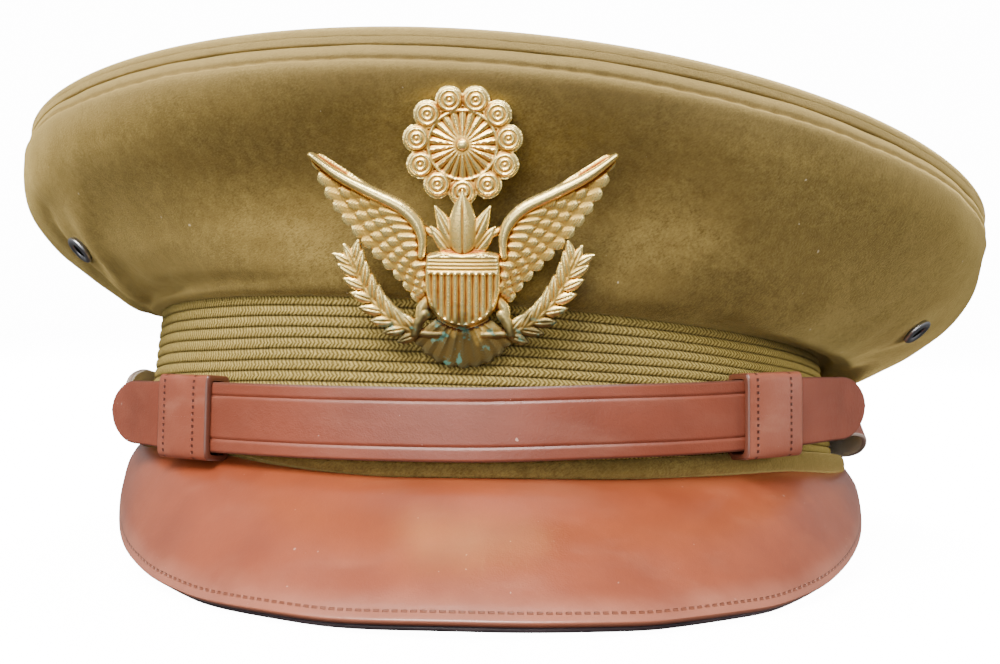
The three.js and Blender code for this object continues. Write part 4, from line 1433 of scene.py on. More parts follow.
@dataclass
class ChinStrap:
    """The front strap, the under strap that carries it, two keepers and two buttons."""

    width: float = 15.5
    thickness: float = 1.7
    # height of the strap's middle, how far both ends rise, and how far the right one slants up
    height: float = 11.0
    rise: float = 5.8
    slant: float = 1.6
    under_width: float = 13.4
    # how far the buttons lie off the strap's line, and where and how far the strap leaves the band
    drift: float = 5.6
    leave: float = math.radians(55)
    flare: float = 6.0
    keeper_length: float = 17.5
    keeper_wall: float = 1.2
    keeper_places: tuple[float, float] = (-0.705, 0.657)
    # how boxy the keeper's section is, through the straps and across them
    keeper_corners: tuple[float, float] = (0.3, 0.22)
    button: float = 6.5
    # the pressed lines end under the keepers, a little in from the strap's edges
    pressed_left: tuple[float, float] = (-69.0, -65.0)
    pressed_right: tuple[float, float] = (63.0, 59.0)
    pressed_inset: float = 3.0
    # pattern length along the front strap per millimetre sideways, and along the whole under strap
    bend: float = 1.2
    under_length: float = 300.0
    # rough length from one station of the under strap's ends to the next
    station_step: float = 11.0
    # how far the under strap's right end leans out of the upright
    twist: float = 5.0
    # the under strap's ends: how far they stand out from the band's half width on the left and
    # right, their place as a share of the half length, and the degrees that they face forwards
    curl: Table = (
        (-1.6, -1.6, -0.389, 33),
        (0.5, 1.6, -0.306, 22),
        (1.7, 3.4, -0.213, 6),
        (1.6, 3.4, -0.111, -10),
        (1.3, 1.7, -0.019, -8),
        (1.2, 1.2, 0.074, -1),
    )

    @property
    def end(self) -> float:
        """Sideways reach of the front strap."""
        return PLAN.half_width - 0.4

    @property
    def outer(self) -> float:
        """How far the front strap's face stands off the strap's path."""
        return 2 * self.thickness + PLAN.gap

    def path(self, offset: float, x: np.ndarray) -> tuple[np.ndarray, np.ndarray, np.ndarray]:
        """The straps' plan: y, and the outward direction, at a given x and offset.

        Args:
            offset: Outwards from the strap's inner face.
            x: Sideways place.

        Returns:
            y, and the x and y of the outward direction.
        """
        wide = PLAN.half_width + self.flare + offset
        long = PLAN.half_length - 0.7 + PLAN.gap + offset
        leave_x = wide * math.sin(self.leave)
        t = np.arcsin(np.clip(x / wide, -0.999, 0.999))
        slope = (long * math.sin(self.leave)) / (wide * math.cos(self.leave))
        straight = np.abs(x) > leave_x
        beside = -long * math.cos(self.leave) + (np.abs(x) - leave_x) * slope
        y = np.where(straight, beside, -long * np.cos(t))
        out_x = np.where(straight, np.sign(x) * slope, np.sin(t) / wide * long)
        out_y = np.where(straight, -1.0, -np.cos(t))
        size = np.hypot(out_x, out_y)
        return y, out_x / size, out_y / size

    def across(self, share: np.ndarray) -> np.ndarray:
        """Sideways place on the front strap, its columns closer at both ends."""
        w = 2 * share - 1
        return self.end * lerp(w, np.sin(math.pi / 2 * w), 0.6)

    def level(self, x: np.ndarray) -> np.ndarray:
        """Height of the straps' centre line."""
        return self.height + self.rise * (x / self.end) ** 2 + self.slant * x / self.end

    def build_front(self) -> bpy.types.Object:
        """Models the front strap with its pressed lines and rounded ends.

        Returns:
            The object.
        """
        face = [(k, 0.0) for k in np.linspace(-0.47, 0.47, 64)]
        far = [(0.495, 0.12), (0.5, 0.4), (0.5, 0.7), (0.48, 0.96)]
        back = [(k, 1.0) for k in np.linspace(0.44, -0.44, 9)]
        near = [(-k, depth) for k, depth in reversed(far)]
        stations = np.array(face + far + back + near)

        def shape(share: np.ndarray, row: np.ndarray) -> Points:
            """Bends the grid into the front strap.

            Args:
                share: Place along the strap, 0 to 1.
                row: Place across it, and depth.

            Returns:
                Points of the cap's frame.
            """
            x = self.across(share)
            y, out_x, out_y = self.path(self.outer, x)
            left = (self.end - np.abs(x)) * 0.95
            cut = np.clip(left / (self.width / 2), 0.0, 1.0)
            rounded = np.sqrt(np.maximum(1e-5, 1 - (1 - cut) ** 2))
            wide = self.width * rounded * lerp(0.96, 1.0, smooth(left, 8, 22))
            pressed = smooth(x, *self.pressed_left) * smooth(x, *self.pressed_right)
            edge = self.width / 2 - np.abs(row[:, 0]) * self.width
            outside = row[:, 1] < 0.5
            sink = 0.3 * pressed * hump(edge, self.pressed_inset, 0.3) * outside
            crown = 0.14 * (1 - (2 * row[:, 0]) ** 2) * outside
            sink = sink - crown + 0.05 * wander(x / 30, row[:, 0] * 0.5, 61)
            depth = row[:, 1] * self.thickness + sink
            bob = 0.12 * wander(x / 60, x * 0, 62)
            z = self.level(x) + row[:, 0] * wide + bob
            return np.stack([x - out_x * depth, y - out_y * depth, z], axis=1)

        def marks(share: np.ndarray, row: np.ndarray) -> tuple[np.ndarray, np.ndarray]:
            """Lengths along the strap and across it."""
            return self.across(share) * self.bend, row[:, 0] * self.width + PLAIN_FACE * (row[:, 1] > 0.9)

        return Form("strap_front_leather", 420, stations).build(shape, marks)

    def under_table(self) -> np.ndarray:
        """Stations of the under strap: x, y, outward x and y, and height.

        Returns:
            One row per station, from left to right.
        """
        middle = 0.917 * self.end * np.arange(-14, 15) / 14
        y, out_x, out_y = self.path(self.thickness, middle)
        centre = np.stack([middle, y, out_x, out_y, self.level(middle)], axis=1)
        ends = {}
        for side in Side:
            rows = []
            for left, right, share, turn in self.curl:
                stand = left if side is Side.LEFT else right
                x, angle = PLAN.half_width + stand, math.radians(turn)
                fall = side.value * self.drift * float(smooth(np.array(share), -0.42, -0.09))
                z = float(self.level(np.array(side.value * x))) - fall
                along = PLAN.half_length * share
                rows.append([side.value * x, along, side.value * math.cos(angle), -math.sin(angle), z])
            ends[side] = np.array(rows)
        return np.vstack([ends[Side.LEFT][::-1], centre, ends[Side.RIGHT]])

    def build_under(self) -> bpy.types.Object:
        """Models the under strap from button to button.

        Returns:
            The object.
        """
        table = self.under_table()
        last = len(table) - 1
        face = [(k, 0.0) for k in np.linspace(-0.47, 0.47, 12)] + [(0.5, 0.3), (0.5, 0.7)]
        back = [(k, 1.0) for k in np.linspace(0.47, -0.47, 8)] + [(-0.5, 0.7), (-0.5, 0.3)]

        def shape(share: np.ndarray, row: np.ndarray) -> Points:
            """Bends the grid into the under strap.

            Args:
                share: Place along the strap, 0 to 1.
                row: Place across it, and depth.

            Returns:
                Points of the cap's frame.
            """
            at = through(table, share * last)
            size = np.hypot(at[:, 2], at[:, 3])
            depth = row[:, 1] * (self.thickness - 0.1)
            left = np.minimum(share, 1 - share) * last * self.station_step
            cut = np.clip(left / (self.under_width / 2), 0.0, 1.0)
            wide = self.under_width * np.sqrt(np.maximum(0.02, 1 - (1 - cut) ** 2))
            twist = self.twist * smooth(share, 0.84, 0.9) * smooth(share, 0.985, 0.93)
            x = at[:, 0] - at[:, 2] / size * depth - twist * row[:, 0]
            y = at[:, 1] - at[:, 3] / size * depth
            return np.stack([x, y, at[:, 4] + row[:, 0] * wide], axis=1)

        def marks(share: np.ndarray, row: np.ndarray) -> tuple[np.ndarray, np.ndarray]:
            """Lengths along the strap and across it."""
            return share * self.under_length, row[:, 0] * self.under_width + PLAIN_FACE * (row[:, 1] > 0.9)

        return Form("strap_under_leather", 320, np.array(face + back)).build(shape, marks)

    def build_keeper(self, side: Side) -> bpy.types.Object:
        """Models one keeper: a flat loop round both straps.

        Args:
            side: Side of the cap.

        Returns:
            The object.
        """
        centre = self.end * self.keeper_places[0 if side is Side.LEFT else 1]
        half = self.keeper_length / 2
        outer = [(-half + 0.1, 0.75), (-half + 0.45, 1.0)]
        outer += [(a, 1.0) for a in np.linspace(-half + 1, half - 1, 17)]
        outer += [(half - 0.45, 1.0), (half - 0.1, 0.75), (half, 0.35), (half, 0.0)]
        inner = [(a, 0.0) for a in np.linspace(half - 2, -half + 2, 5)] + [(-half, 0.0), (-half, 0.35)]
        slack = 1.6 * PLAN.gap

        def shape(share: np.ndarray, row: np.ndarray) -> Points:
            """Bends the grid into the loop.

            Args:
                share: Place round the loop, 0 to 1.
                row: Place along the strap in millimetres, and height in the wall.

            Returns:
                Points of the cap's frame.
            """
            grow = row[:, 1] * self.keeper_wall
            angle = 2 * math.pi * share
            deep = (self.outer + 2 * slack) / 2 + grow
            r = deep * boxed(np.cos(angle), self.keeper_corners[0])
            h = (self.width / 2 + slack + grow) * boxed(np.sin(angle), self.keeper_corners[1])
            pillow = 0.18 * (1 - (row[:, 0] / half) ** 2) * (row[:, 1] > 0.9)
            r = r + pillow * (r > 0) + self.outer / 2
            _, _, mid_y = self.path(self.outer / 2, np.full_like(share, centre))
            x = centre + row[:, 0] * np.abs(mid_y)
            y, out_x, out_y = self.path(0.0, x)
            z = self.level(x) + h
            return np.stack([x + out_x * r, y + out_y * r, z], axis=1)

        def marks(share: np.ndarray, row: np.ndarray) -> tuple[np.ndarray, np.ndarray]:
            """Lengths along the strap and up the loop.

            Args:
                share: Place round the loop, 0 to 1.
                row: Place along the strap in millimetres, and height in the wall.

            Returns:
                Both lengths.
            """
            tall = self.width / 2 + slack + self.keeper_wall
            angle = 2 * math.pi * share
            plain = (np.cos(angle) < 0) | (row[:, 1] < 0.9)
            return row[:, 0] + PLAIN_FACE * plain, tall * boxed(np.sin(angle), self.keeper_corners[1])

        return Form(f"keeper_{side.word}_leather", 96, np.array(outer + inner)).build(shape, marks)

    def build_button(self, side: Side) -> bpy.types.Object:
        """Models one domed button with its stem.

        Args:
            side: Side of the cap.

        Returns:
            The object.
        """
        radius = self.button
        turns = np.linspace(math.pi / 2, 0, 14)[1:]
        dome = [(0.9 * radius * math.sin(a), 1.6 + 2.3 * math.cos(a)) for a in turns]
        stem = [(0.0, -2.6), (1.4, -2.6), (1.4, 0.3)]
        rim = [(radius - 1.1, 0.45), (radius - 0.5, 0.7), (radius, 1.1), (radius, 1.4)]
        profile = [*stem, *rim, (radius - 0.25, 1.65), (radius - 0.6, 1.6), *dome]
        z = float(self.level(np.array(side.value * self.end))) - side.value * self.drift
        place = facing((side.value * (PLAN.half_width + 1.5), 0, z), (side.value, 0, 0))
        return turned(f"button_{side.word}_dome", profile, place @ Matrix.Translation((0, 0, 0.7)), 48)

    def make(
        self,
        strap: bpy.types.Material,
        under: bpy.types.Material,
        keeper: bpy.types.Material,
        gilt: bpy.types.Material,
    ) -> None:
        """Builds and dresses the chin strap.

        Args:
            strap: Finish of the front strap.
            under: Finish of the under strap, pale inside.
            keeper: Finish of the sewn keepers.
            gilt: Finish of the buttons.
        """
        dress(self.build_front(), strap, "russet_leather", "strap_front")
        dress(self.build_under(), under, "russet_leather", "strap_under")
        for side in Side:
            dress(self.build_keeper(side), keeper, "russet_leather", f"keeper_{side.word}")
            dress(self.build_button(side), gilt, "gilt_brass", f"button_{side.word}")


@dataclass
class Relief:
    """A raised form on a grid: where its outline runs and how high it stands, in shares of the badge."""

    x: np.ndarray
    y: np.ndarray
    size: float
    height: np.ndarray = field(init=False)
    away: np.ndarray = field(init=False)

    def __post_init__(self) -> None:
        """Starts bare."""
        self.height = np.zeros_like(self.x)
        self.away = np.full_like(self.x, 9.0)

    def lay(self, away: np.ndarray, height: np.ndarray) -> None:
        """Adds one form, given its distance to each spot and its height in millimetres."""
        self.away = np.minimum(self.away, away)
        self.height = np.where(away < 0.006, np.maximum(self.height, height), self.height)

    def along(self, start: Sequence[float], end: Sequence[float]) -> tuple[np.ndarray, np.ndarray, float]:
        """Places the spots beside a line.

        Args:
            start: Its start.
            end: Its end.

        Returns:
            Share along the line, signed distance beside it, and its length.
        """
        run = np.subtract(end, start)
        length = float(np.hypot(*run))
        share = ((self.x - start[0]) * run[0] + (self.y - start[1]) * run[1]) / length**2
        side = ((self.x - start[0]) * run[1] - (self.y - start[1]) * run[0]) / length
        return share, side, length

    def blade(
        self,
        start: Sequence[float],
        end: Sequence[float],
        half: float,
        base: float,
        rise: float,
        barbs: float = 0.0,
        round_tip: bool = False,
    ) -> None:
        """Adds a leaf, or a feather with barbs on both sides of its quill.

        Args:
            start: Its root.
            end: Its tip.
            half: Half its width.
            base: Height of its edge.
            rise: How far it domes above its edge.
            barbs: Depth of the barbs.
            round_tip: Rounds the tip instead of tapering to it.
        """
        share, side, length = self.along(start, end)
        h = np.clip(share, 0.0, 1.0)
        if round_tip:
            body = 0.6 + 0.4 * h
            cap = half * 1.1 / length
            wide = half * body * np.sqrt(np.clip(1 - np.clip((h - (1 - cap)) / cap, 0, 1) ** 2, 1e-4, 1))
        else:
            wide = half * np.sin(math.pi * h**0.75) ** 0.8 + 1e-4
        over = np.maximum(0.0, np.maximum(-share, share - 1)) * length
        past = np.abs(side) - wide
        away = np.hypot(np.maximum(past, 0), over) + np.minimum(past, 0) * (over <= 0)
        dome = np.sqrt(np.clip(1 - (side / np.maximum(wide, 1e-3)) ** 2, 0, 1))
        height = base + rise * dome * (0.75 + 0.25 * np.sin(math.pi * h))
        if barbs:
            slant = (h * length + np.abs(side) * 0.8) * self.size / 0.62
            height = height - barbs * (0.5 + 0.5 * np.sin(2 * math.pi * slant)) * smooth(h, 0.02, 0.2)
            height = height + 0.22 * np.exp(-((side * self.size / 0.22) ** 2)) * (1 - h)
        else:
            height = height - 0.3 * rise * np.exp(-((side * self.size / 0.16) ** 2)) * smooth(h, 0.95, 0.7)
        self.lay(away, height)

    def bar(self, points: Table, radii: Sequence[float], base: float, rise: float) -> None:
        """Adds a rounded bar through several points.

        Args:
            points: The points.
            radii: Its half width at each.
            base: Height of its edge.
            rise: How far it domes.
        """
        for a, b, ra, rb in zip(points, points[1:], radii, radii[1:]):
            share, _, _ = self.along(a, b)
            h = np.clip(share, 0.0, 1.0)
            off = np.hypot(self.x - lerp(a[0], b[0], h), self.y - lerp(a[1], b[1], h))
            wide = lerp(ra, rb, h)
            self.lay(off - wide, base + rise * np.sqrt(np.clip(1 - (off / wide) ** 2, 0, 1)))

    def outline(self, points: Table) -> np.ndarray:
        """Measures how far the spots are from a closed outline.

        Args:
            points: The outline's corners.

        Returns:
            Signed distances, negative inside.
        """
        spots = np.array(points)
        nearest = np.full_like(self.x, 9.0)
        inside = np.zeros(self.x.shape, dtype=bool)
        for (ax, ay), (bx, by) in zip(spots, np.roll(spots, -1, axis=0)):
            run = np.array([bx - ax, by - ay])
            h = np.clip(((self.x - ax) * run[0] + (self.y - ay) * run[1]) / (run @ run), 0, 1)
            nearest = np.minimum(nearest, np.hypot(self.x - ax - h * run[0], self.y - ay - h * run[1]))
            if ay != by:
                crosses = (self.y > ay) != (self.y > by)
                inside ^= crosses & (self.x < ax + (self.y - ay) * (bx - ax) / (by - ay))
        return np.where(inside, -nearest, nearest)


@dataclass
class Badge:
    """A gilt openwork crest: a fluted shield between wings, under a rosette, with laurel at its foot."""

    # height of the badge and of its foot, its lean and turn, its place sideways and forwards
    size: float = 57.5
    foot: float = 22.1
    tilt: float = math.radians(12.8)
    twist: float = math.radians(2.5)
    offset: float = -5.1
    reach: float = 105.34
    # the grid's cell, the thinnest metal, and how often heights are blurred to find the hollows
    cell: float = 0.2
    plate: float = 0.6
    blurs: int = 14
    # from here on all places are shares of the badge's size, from its middle
    # half width, bottom and top of the grid that it is raised on
    grid_box: tuple[float, float, float] = (0.565, -0.51, 0.54)
    # height of the rosette's middle, and how far out its petals sit
    rosette: tuple[float, float] = (0.309, 0.166)
    petals: int = 11
    # the longest feathers' tips from the top, and the line that their roots lie on
    feather_tips: Table = (
        (0.542, 0.262),
        (0.523, 0.2),
        (0.5, 0.146),
        (0.47, 0.096),
        (0.438, 0.05),
        (0.404, 0.006),
        (0.368, -0.036),
        (0.33, -0.078),
        (0.292, -0.118),
        (0.254, -0.158),
        (0.218, -0.2),
        (0.186, -0.245),
    )
    feather_roots: Table = ((0.29, 0.115), (0.2, 0.05), (0.16, -0.02), (0.14, -0.11), (0.12, -0.2))
    # length, place between its neighbours, half width and height of each row of feathers
    feather_rows: Table = (
        (1.0, 0.0, 0.03, 0.9),
        (0.74, 0.5, 0.026, 1.2),
        (0.54, 0.0, 0.024, 1.5),
        (0.34, 0.5, 0.022, 1.8),
    )
    # the bar along the wing: two coordinates and half its width
    wing_edge: Table = (
        (0.15, -0.09, 0.012),
        (0.147, -0.03, 0.018),
        (0.168, 0.03, 0.024),
        (0.225, 0.085, 0.025),
        (0.33, 0.137, 0.023),
        (0.45, 0.2, 0.019),
        (0.546, 0.272, 0.01),
    )
    # the shield's right half, from the middle of its top to its point
    shield_edge: Table = (
        (0, -0.075),
        (0.07, -0.068),
        (0.137, -0.082),
        (0.142, -0.14),
        (0.141, -0.21),
        (0.126, -0.27),
        (0.09, -0.315),
        (0.045, -0.338),
        (0, -0.35),
    )
    stem: Table = (
        (0.07, -0.375),
        (0.16, -0.372),
        (0.245, -0.335),
        (0.315, -0.27),
        (0.368, -0.19),
        (0.4, -0.12),
    )
    spray_leaves: int = 8
    fan_turns: tuple[float, ...] = (0.96, 0.72, 0.48, 0.24, 0.0)
    fan_reach: float = 0.205

    @property
    def seat(self) -> Matrix:
        """From the badge's back, +Y up it and +Z out of its face, to the cap's frame.

        Returns:
            The seat.
        """
        spin = Matrix.Rotation(-self.twist, 4, "Z")
        stand = Matrix.Translation((self.offset, -self.reach, self.foot)) @ spin
        lean = Matrix.Rotation(math.pi / 2 + self.tilt, 4, "X")
        return stand @ lean @ Matrix.Translation((0, self.size / 2 + 0.9, 0))

    def wings(self, relief: Relief) -> None:
        """Lays four overlapping rows of feathers and the bar along the wing's upper edge.

        Args:
            relief: The badge's relief.
        """
        last = len(self.feather_tips) - 1
        roots = through(self.feather_roots, np.linspace(0, len(self.feather_roots) - 1, last + 1))
        for reach, step, half, base in self.feather_rows:
            for index in range(last, -1, -1):
                at = np.array([min(index + step, float(last))])
                root, outer = through(roots, at)[0], through(self.feather_tips, at)[0]
                layer = base + 0.03 * (last + 1 - index)
                relief.blade(root, lerp(root, outer, reach), half, layer, 0.34, 0.1, True)
        places = np.linspace(0, len(self.wing_edge) - 1, 25)
        edge = through(self.wing_edge, places)[:, :2]
        widths = np.interp(places, range(len(self.wing_edge)), np.array(self.wing_edge)[:, 2])
        relief.bar(edge, widths, 1.5, 1.6)

    def shield(self, relief: Relief) -> None:
        """Lays the domed shield with upright flutes under a ribbed upper band.

        Args:
            relief: The badge's relief.
        """
        left = [(-x, y) for x, y in self.shield_edge[-2:0:-1]]
        away = relief.outline([*self.shield_edge, *left])
        deep = np.clip(-away * self.size, 0, 9)
        dome = 2.3 + 1.15 * (1 - (relief.x / 0.15) ** 2)
        flutes = 0.24 * np.cos(relief.x * self.size * 2 * math.pi / 1.45)
        rims = 0.3 * np.exp(-(((deep - 0.5) / 0.35) ** 2))
        band = smooth(relief.y, -0.152, -0.145)
        ribs = 0.1 * np.cos(relief.y * self.size * 2 * math.pi / 0.75)
        ledge = 0.22 * np.exp(-(((relief.y + 0.15) * self.size / 0.25) ** 2))
        face = np.where(deep > 0.9, lerp(flutes, ribs, band) + ledge, rims)
        relief.lay(away, dome - 1.2 * smooth(deep, 0.9, 0.0) + face)

    def neck(self, relief: Relief) -> None:
        """Lays a palmette that joins shield, wings and rosette.

        Args:
            relief: The badge's relief.
        """
        relief.blade((0.03, -0.09), (0.118, 0.02), 0.027, 1.3, 0.9)
        relief.blade((0.02, -0.07), (0.1, 0.095), 0.03, 1.5, 1.0)
        relief.bar([(0.05, -0.04), (0.105, -0.01), (0.15, 0.012)], (0.012, 0.012, 0.014), 1.1, 0.8)
        relief.blade((0.0, -0.1), (0.0, 0.155), 0.052, 1.9, 1.2)

    def disc(self, relief: Relief) -> None:
        """Lays the rosette: round petals about a disc of rays.

        Args:
            relief: The badge's relief.
        """
        middle, ring = self.rosette
        dx, dy = relief.x, relief.y - middle
        radius, bearing = np.hypot(dx, dy), np.arctan2(dx, dy)
        rays = 0.2 * np.cos(bearing * 22) * smooth(radius, 0.02, 0.05) * smooth(radius, 0.122, 0.112)
        fine = 0.1 * np.cos(bearing * 66) * smooth(radius, 0.05, 0.07) * smooth(radius, 0.122, 0.112)
        bowl = 1.7 + 0.9 * (1 - (radius / 0.13) ** 2)
        lip = 0.45 * np.exp(-(((radius - 0.124) * self.size / 0.32) ** 2))
        boss = 0.7 * np.sqrt(np.clip(1 - (radius / 0.02) ** 2, 0, 1))
        relief.lay(radius - 0.14, bowl + rays + fine + lip + boss)
        for index in range(self.petals):
            turn = 2 * math.pi * (index + 0.5) / self.petals
            px, py = ring * math.sin(turn), middle + ring * math.cos(turn)
            for sx in (px, -px):
                off = np.hypot(relief.x - sx, relief.y - py)
                dome = 1.6 + 1.0 * np.sqrt(np.clip(1 - (off / 0.052) ** 2, 0, 1))
                rings = 0.2 * np.cos(off * self.size * 2 * math.pi)
                relief.lay(off - 0.051, dome + rings * (off < 0.049))

    def laurel(self, relief: Relief) -> None:
        """Lays a curved spray of leaves and its berries below each wing.

        Args:
            relief: The badge's relief.
        """
        top = len(self.stem) - 1.0
        relief.bar(through(self.stem, np.linspace(0, top, 16)), [0.013] * 8 + [0.011] * 8, 0.9, 0.7)
        for index, at in enumerate(np.linspace(1.0, top - 0.1, self.spray_leaves)):
            root, ahead = through(self.stem, np.array([at, min(at + 0.1, top)]))
            course = math.atan2(ahead[1] - root[1], ahead[0] - root[0])
            for turn, size in ((0.62, 0.098), (-0.62, 0.088)):
                angle = course + turn
                tip = (root[0] + size * math.cos(angle), root[1] + size * math.sin(angle))
                relief.blade(root, tip, 0.021, 0.9 + 0.02 * index, 0.9)
        relief.blade((0.385, -0.15), (0.43, -0.045), 0.022, 1.0, 0.9)
        relief.bar([(0.14, -0.3), (0.165, -0.335), (0.175, -0.375)], (0.02, 0.018, 0.016), 1.2, 0.9)
        relief.bar([(0.12, -0.24), (0.15, -0.28), (0.155, -0.31)], (0.022, 0.02, 0.018), 1.0, 0.9)

    def fan(self, relief: Relief) -> None:
        """Lays the fan of feathers at the foot.

        Args:
            relief: The badge's relief.
        """
        for turn in self.fan_turns:
            tip = (self.fan_reach * math.sin(turn) * 1.02, -0.295 - self.fan_reach * math.cos(turn))
            relief.blade((0.03 * math.sin(turn), -0.29), tip, 0.034, 1.0 - 0.14 * turn, 0.45, 0.07, True)

    def hollows(self, height: np.ndarray) -> np.ndarray:
        """Finds the hollows of the relief, by how far each spot lies below its neighbourhood.

        Args:
            height: Heights on the grid in millimetres.

        Returns:
            1 in the hollows and 0 on the ridges.
        """
        soft = height
        for _ in range(self.blurs):
            for axis in (0, 1):
                soft = (np.roll(soft, 1, axis) + 2 * soft + np.roll(soft, -1, axis)) / 4
        return np.clip(0.5 + (soft - height) * 1.6, 0, 1)

    def build(self) -> bpy.types.Object:
        """Models the crest as one raised plate with an open outline and a flat back.

        Returns:
            The object.
        """
        wide, low, high = (share * self.size for share in self.grid_box)
        columns, rows = round(2 * wide / self.cell), round((high - low) / self.cell)
        bm, mesh, flat = sheet("badge_crest", columns, rows)
        x, y = flat[:, 0] * 2 * wide, lerp(low, high, flat[:, 1] + 0.5)
        relief = Relief(np.abs(x) / self.size, y / self.size, self.size)
        for part in (self.fan, self.laurel, self.wings, self.neck, self.disc, self.shield):
            part(relief)
        order = np.lexsort((x, y))
        grid = (rows + 1, columns + 1)
        away, height = (values[order].reshape(grid) for values in (relief.away * self.size, relief.height))
        slope_y, slope_x = np.gradient(away, self.cell)
        near = np.abs(away) < self.cell * 1.1
        pull = np.where(near, -away / np.maximum(slope_x**2 + slope_y**2, 0.25), 0.0)
        spots = np.empty((len(order), 4))
        layers = (pull * slope_x, pull * slope_y, away < self.cell * 0.55, self.hollows(height))
        spots[order] = np.stack([layer.ravel() for layer in layers], axis=1)
        points = np.stack([x + spots[:, 0], y + spots[:, 1], np.maximum(relief.height, self.plate)], axis=1)
        seat = np.array(self.seat)
        set_down(mesh, points @ seat[:3, :3].T + seat[:3, 3])
        for name, values in (("hollow", spots[:, 3]), ("rise", y / self.size + 0.5)):
            mesh.attributes.new(name, "FLOAT", "POINT").data.foreach_set("value", values.astype(np.float32))
        bm.clear()
        bm.from_mesh(mesh)
        bmesh.ops.delete(bm, geom=[v for v, keep in zip(bm.verts, spots[:, 2]) if not keep], context="VERTS")
        loose = [v for v in bm.verts if not v.link_faces]
        bmesh.ops.delete(bm, geom=loose, context="VERTS")
        self.close(bm)
        return finished("badge_crest", bm, mesh, 60.0)

    def close(self, bm: bmesh.types.BMesh) -> None:
        """Gives the raised face its sides and a flat back.

        Args:
            bm: The raised face.
        """
        front = list(bm.faces)
        made = bmesh.ops.extrude_face_region(bm, geom=front, use_keep_orig=True)["geom"]
        back = [item for item in made if isinstance(item, bmesh.types.BMVert)]
        frame = REST.matrix @ self.seat
        into = frame.inverted()
        for vert in back:
            spot = into @ vert.co
            spot.z = 0.0
            vert.co = frame @ spot
        edges = [item for item in made if isinstance(item, bmesh.types.BMEdge)]
        bmesh.ops.dissolve_limit(bm, angle_limit=0.02, verts=back, edges=edges, use_dissolve_boundaries=False)
        bmesh.ops.recalc_face_normals(bm, faces=bm.faces)

    def make(self, gilt: bpy.types.Material) -> None:
        """Builds and dresses the crest."""
        dress(self.build(), gilt, "gilt_brass", "badge")


# The studio


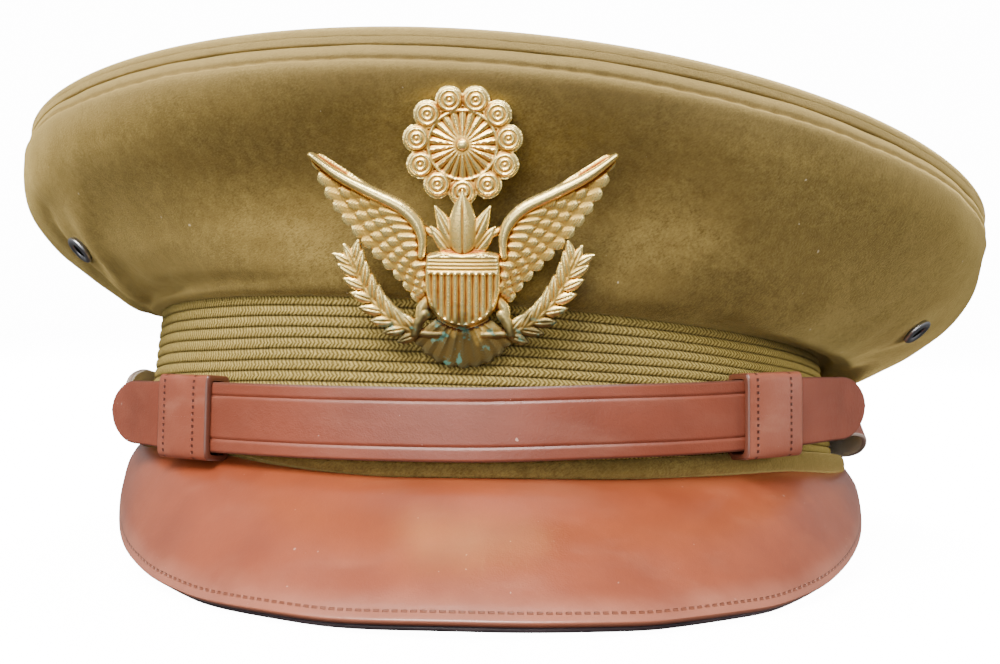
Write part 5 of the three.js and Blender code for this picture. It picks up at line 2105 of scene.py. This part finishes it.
@dataclass
class Studio:
    """A pale floor that sweeps up behind the cap, soft lamps, and the camera."""

    target: tuple[float, float, float] = (2.5, -108.0, 30.4)
    rise: float = math.radians(-5)
    roll: float = math.radians(0.7)
    distance: float = 338.5
    lens: float = 58.32
    # from and to a way's slope, the room's light there, and the white that the camera sees behind all
    air: tuple[float, float, float, float] = (-0.5, 0.4, 0.08, 0.4)
    white: float = 14.0
    paper: float = 3.0
    bend_start: float = 1.9

    def camera(self) -> None:
        """Sets the camera where the cap was seen from."""
        back = Vector((0, -math.cos(self.rise), math.sin(self.rise)))
        right = (-back).cross(Vector((0, 0, 1))).normalized()
        up = right.cross(-back)
        across = right * math.cos(self.roll) + up * math.sin(self.roll)
        above = up * math.cos(self.roll) - right * math.sin(self.roll)
        eye = Vector(self.target) + back * self.distance
        turn = REST.matrix.to_3x3() * 1000
        axes = Matrix([turn @ across, turn @ above, turn @ back]).transposed().to_4x4()
        lens = bpy.data.cameras.new("camera")
        lens.lens, lens.sensor_width, lens.clip_start = self.lens, 36.0, 0.01
        camera = bpy.data.objects.new("camera", lens)
        camera.matrix_world = Matrix.Translation(REST.matrix @ eye) @ axes
        bpy.context.collection.objects.link(camera)
        bpy.context.scene.camera = camera

    def floor(self) -> None:
        """Lays the floor and its sweep."""
        bm = bmesh.new()
        bmesh.ops.create_grid(bm, x_segments=8, y_segments=60, size=self.paper)
        for vert in bm.verts:
            past = max(0.0, vert.co.y - self.bend_start)
            vert.co.z = min(past**2 * 1.6, past * 2.2)
            vert.co.x *= 1.6
        bmesh.ops.recalc_face_normals(bm, faces=bm.faces)
        sweep = finished("studio_floor", bm, bpy.data.meshes.new("studio_floor"), 60.0)
        r = Recipe("studio_paper")
        r.set(base_color=(0.95, 0.95, 0.95, 1.0), roughness=0.9)
        r.set(emission_color=(1, 1, 1, 1), emission_strength=self.white)
        sweep.data.materials.append(r.material)
        sweep.visible_diffuse = sweep.visible_glossy = False

    def lamp(
        self,
        name: str,
        place: Vector,
        size: tuple[float, float],
        power: float,
        tint: str,
        mirrored: bool = True,
        cast: bool = True,
    ) -> None:
        """Hangs one soft lamp that faces the cap.

        Args:
            name: The lamp's name.
            place: Where it hangs, in metres.
            size: Width and height in metres.
            power: Watts.
            tint: Hex colour.
            mirrored: Whether polished faces mirror it.
            cast: Whether it lights matt faces.
        """
        data = bpy.data.lights.new(name, "AREA")
        data.shape, data.size, data.size_y = "RECTANGLE", size[0], size[1]
        data.energy, data.color = power, srgb(tint)[:3]
        lamp = bpy.data.objects.new(name, data)
        aim = (Vector((0, -0.05, 0.05)) - place).to_track_quat("-Z", "Y")
        lamp.matrix_world = Matrix.Translation(place) @ aim.to_matrix().to_4x4()
        lamp.visible_glossy, lamp.visible_diffuse = mirrored, cast
        bpy.context.collection.objects.link(lamp)

    def world(self) -> None:
        """Fills the room with soft light, weaker from below."""
        world = bpy.data.worlds.new("studio_air")
        world.use_nodes = True
        tree = world.node_tree
        air = tree.nodes["Background"]
        air.inputs[0].default_value = (1, 1, 1, 1)
        around = tree.nodes.new("ShaderNodeTexCoord")
        parts = tree.nodes.new("ShaderNodeSeparateXYZ")
        rise = tree.nodes.new("ShaderNodeMapRange")
        for socket, value in zip(list(rise.inputs)[1:5], self.air):
            socket.default_value = value
        tree.links.new(around.outputs["Generated"], parts.inputs[0])
        tree.links.new(parts.outputs[2], rise.inputs[0])
        seen = tree.nodes.new("ShaderNodeLightPath")
        whole = tree.nodes.new("ShaderNodeMath")
        whole.operation = "MULTIPLY_ADD"
        whole.inputs[1].default_value = self.white
        tree.links.new(seen.outputs["Is Camera Ray"], whole.inputs[0])
        tree.links.new(rise.outputs[0], whole.inputs[2])
        tree.links.new(whole.outputs[0], air.inputs[1])
        bpy.context.scene.world = world

    def make(self) -> None:
        """Sets up camera, floor and lamps."""
        self.camera()
        self.floor()
        self.world()
        self.lamp("lamp_above", Vector((-0.38, -0.7, 0.92)), (0.9, 0.6), 32.0, "fffaf2")
        self.lamp("lamp_back", Vector((0.1, 0.6, 0.9)), (0.9, 0.4), 42.0, "fffdf8")
        self.lamp("lamp_left", Vector((-1.0, 0.1, 0.3)), (0.4, 0.5), 2.5, "fffdf8", mirrored=False)
        self.lamp("lamp_right", Vector((1.0, 0.1, 0.15)), (0.4, 0.3), 9.5, "fffdf8", mirrored=False)
        self.lamp("lamp_gloss", Vector((0.14, -0.62, 0.95)), (0.5, 0.22), 16.0, "ffffff", cast=False)
        self.lamp("lamp_front", Vector((-0.25, -1.2, 0.22)), (1.1, 0.4), 6.5, "ffffff")


def main() -> None:
    """Builds the cap and the studio."""
    logging.basicConfig(level=logging.INFO, format="%(name)s %(message)s")
    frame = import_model()
    Studio().make()
    wool = Wool().make()
    gilt = Metal("gilt_brass", "e0b96a", "8a5a24", 0.28, 0.45).make()
    steel = Metal("eyelet_metal", "c3c4ca", "5c5c60", 0.3, 0.5).make()
    # painted shade: a near-black finish for the discs that fill the eyelets' bores
    bore_shade = Metal("eyelet_bore_shade", "15130f", "0b0a08", 0.8, 0.2).make()
    # painted highlight: the wall's wool lightens near the seam, and the welt's and top's wool lightens all
    # over
    wall = Wool("wall_wool", painted_highlight_span=(54.0, 69.0)).make()
    painted_highlight = Wool("painted_highlight_wool", painted_highlight_span=(-9.0, -8.0)).make()
    Crown().make(wall, painted_highlight, steel, bore_shade)
    HeadBand().make(wool, Braid().make())
    Peak().make(PEAK_LEATHER.make(), LINING_LEATHER.make())
    ChinStrap().make(STRAP_LEATHER.make(), UNDER_LEATHER.make(), KEEPER_LEATHER.make(), gilt)
    Badge().make(Gilt().make())
    nut = frame["nodes"]["badge_nut"]
    nut.data.materials.clear()
    nut.data.materials.append(gilt)


if __name__ == "__main__":
    main()
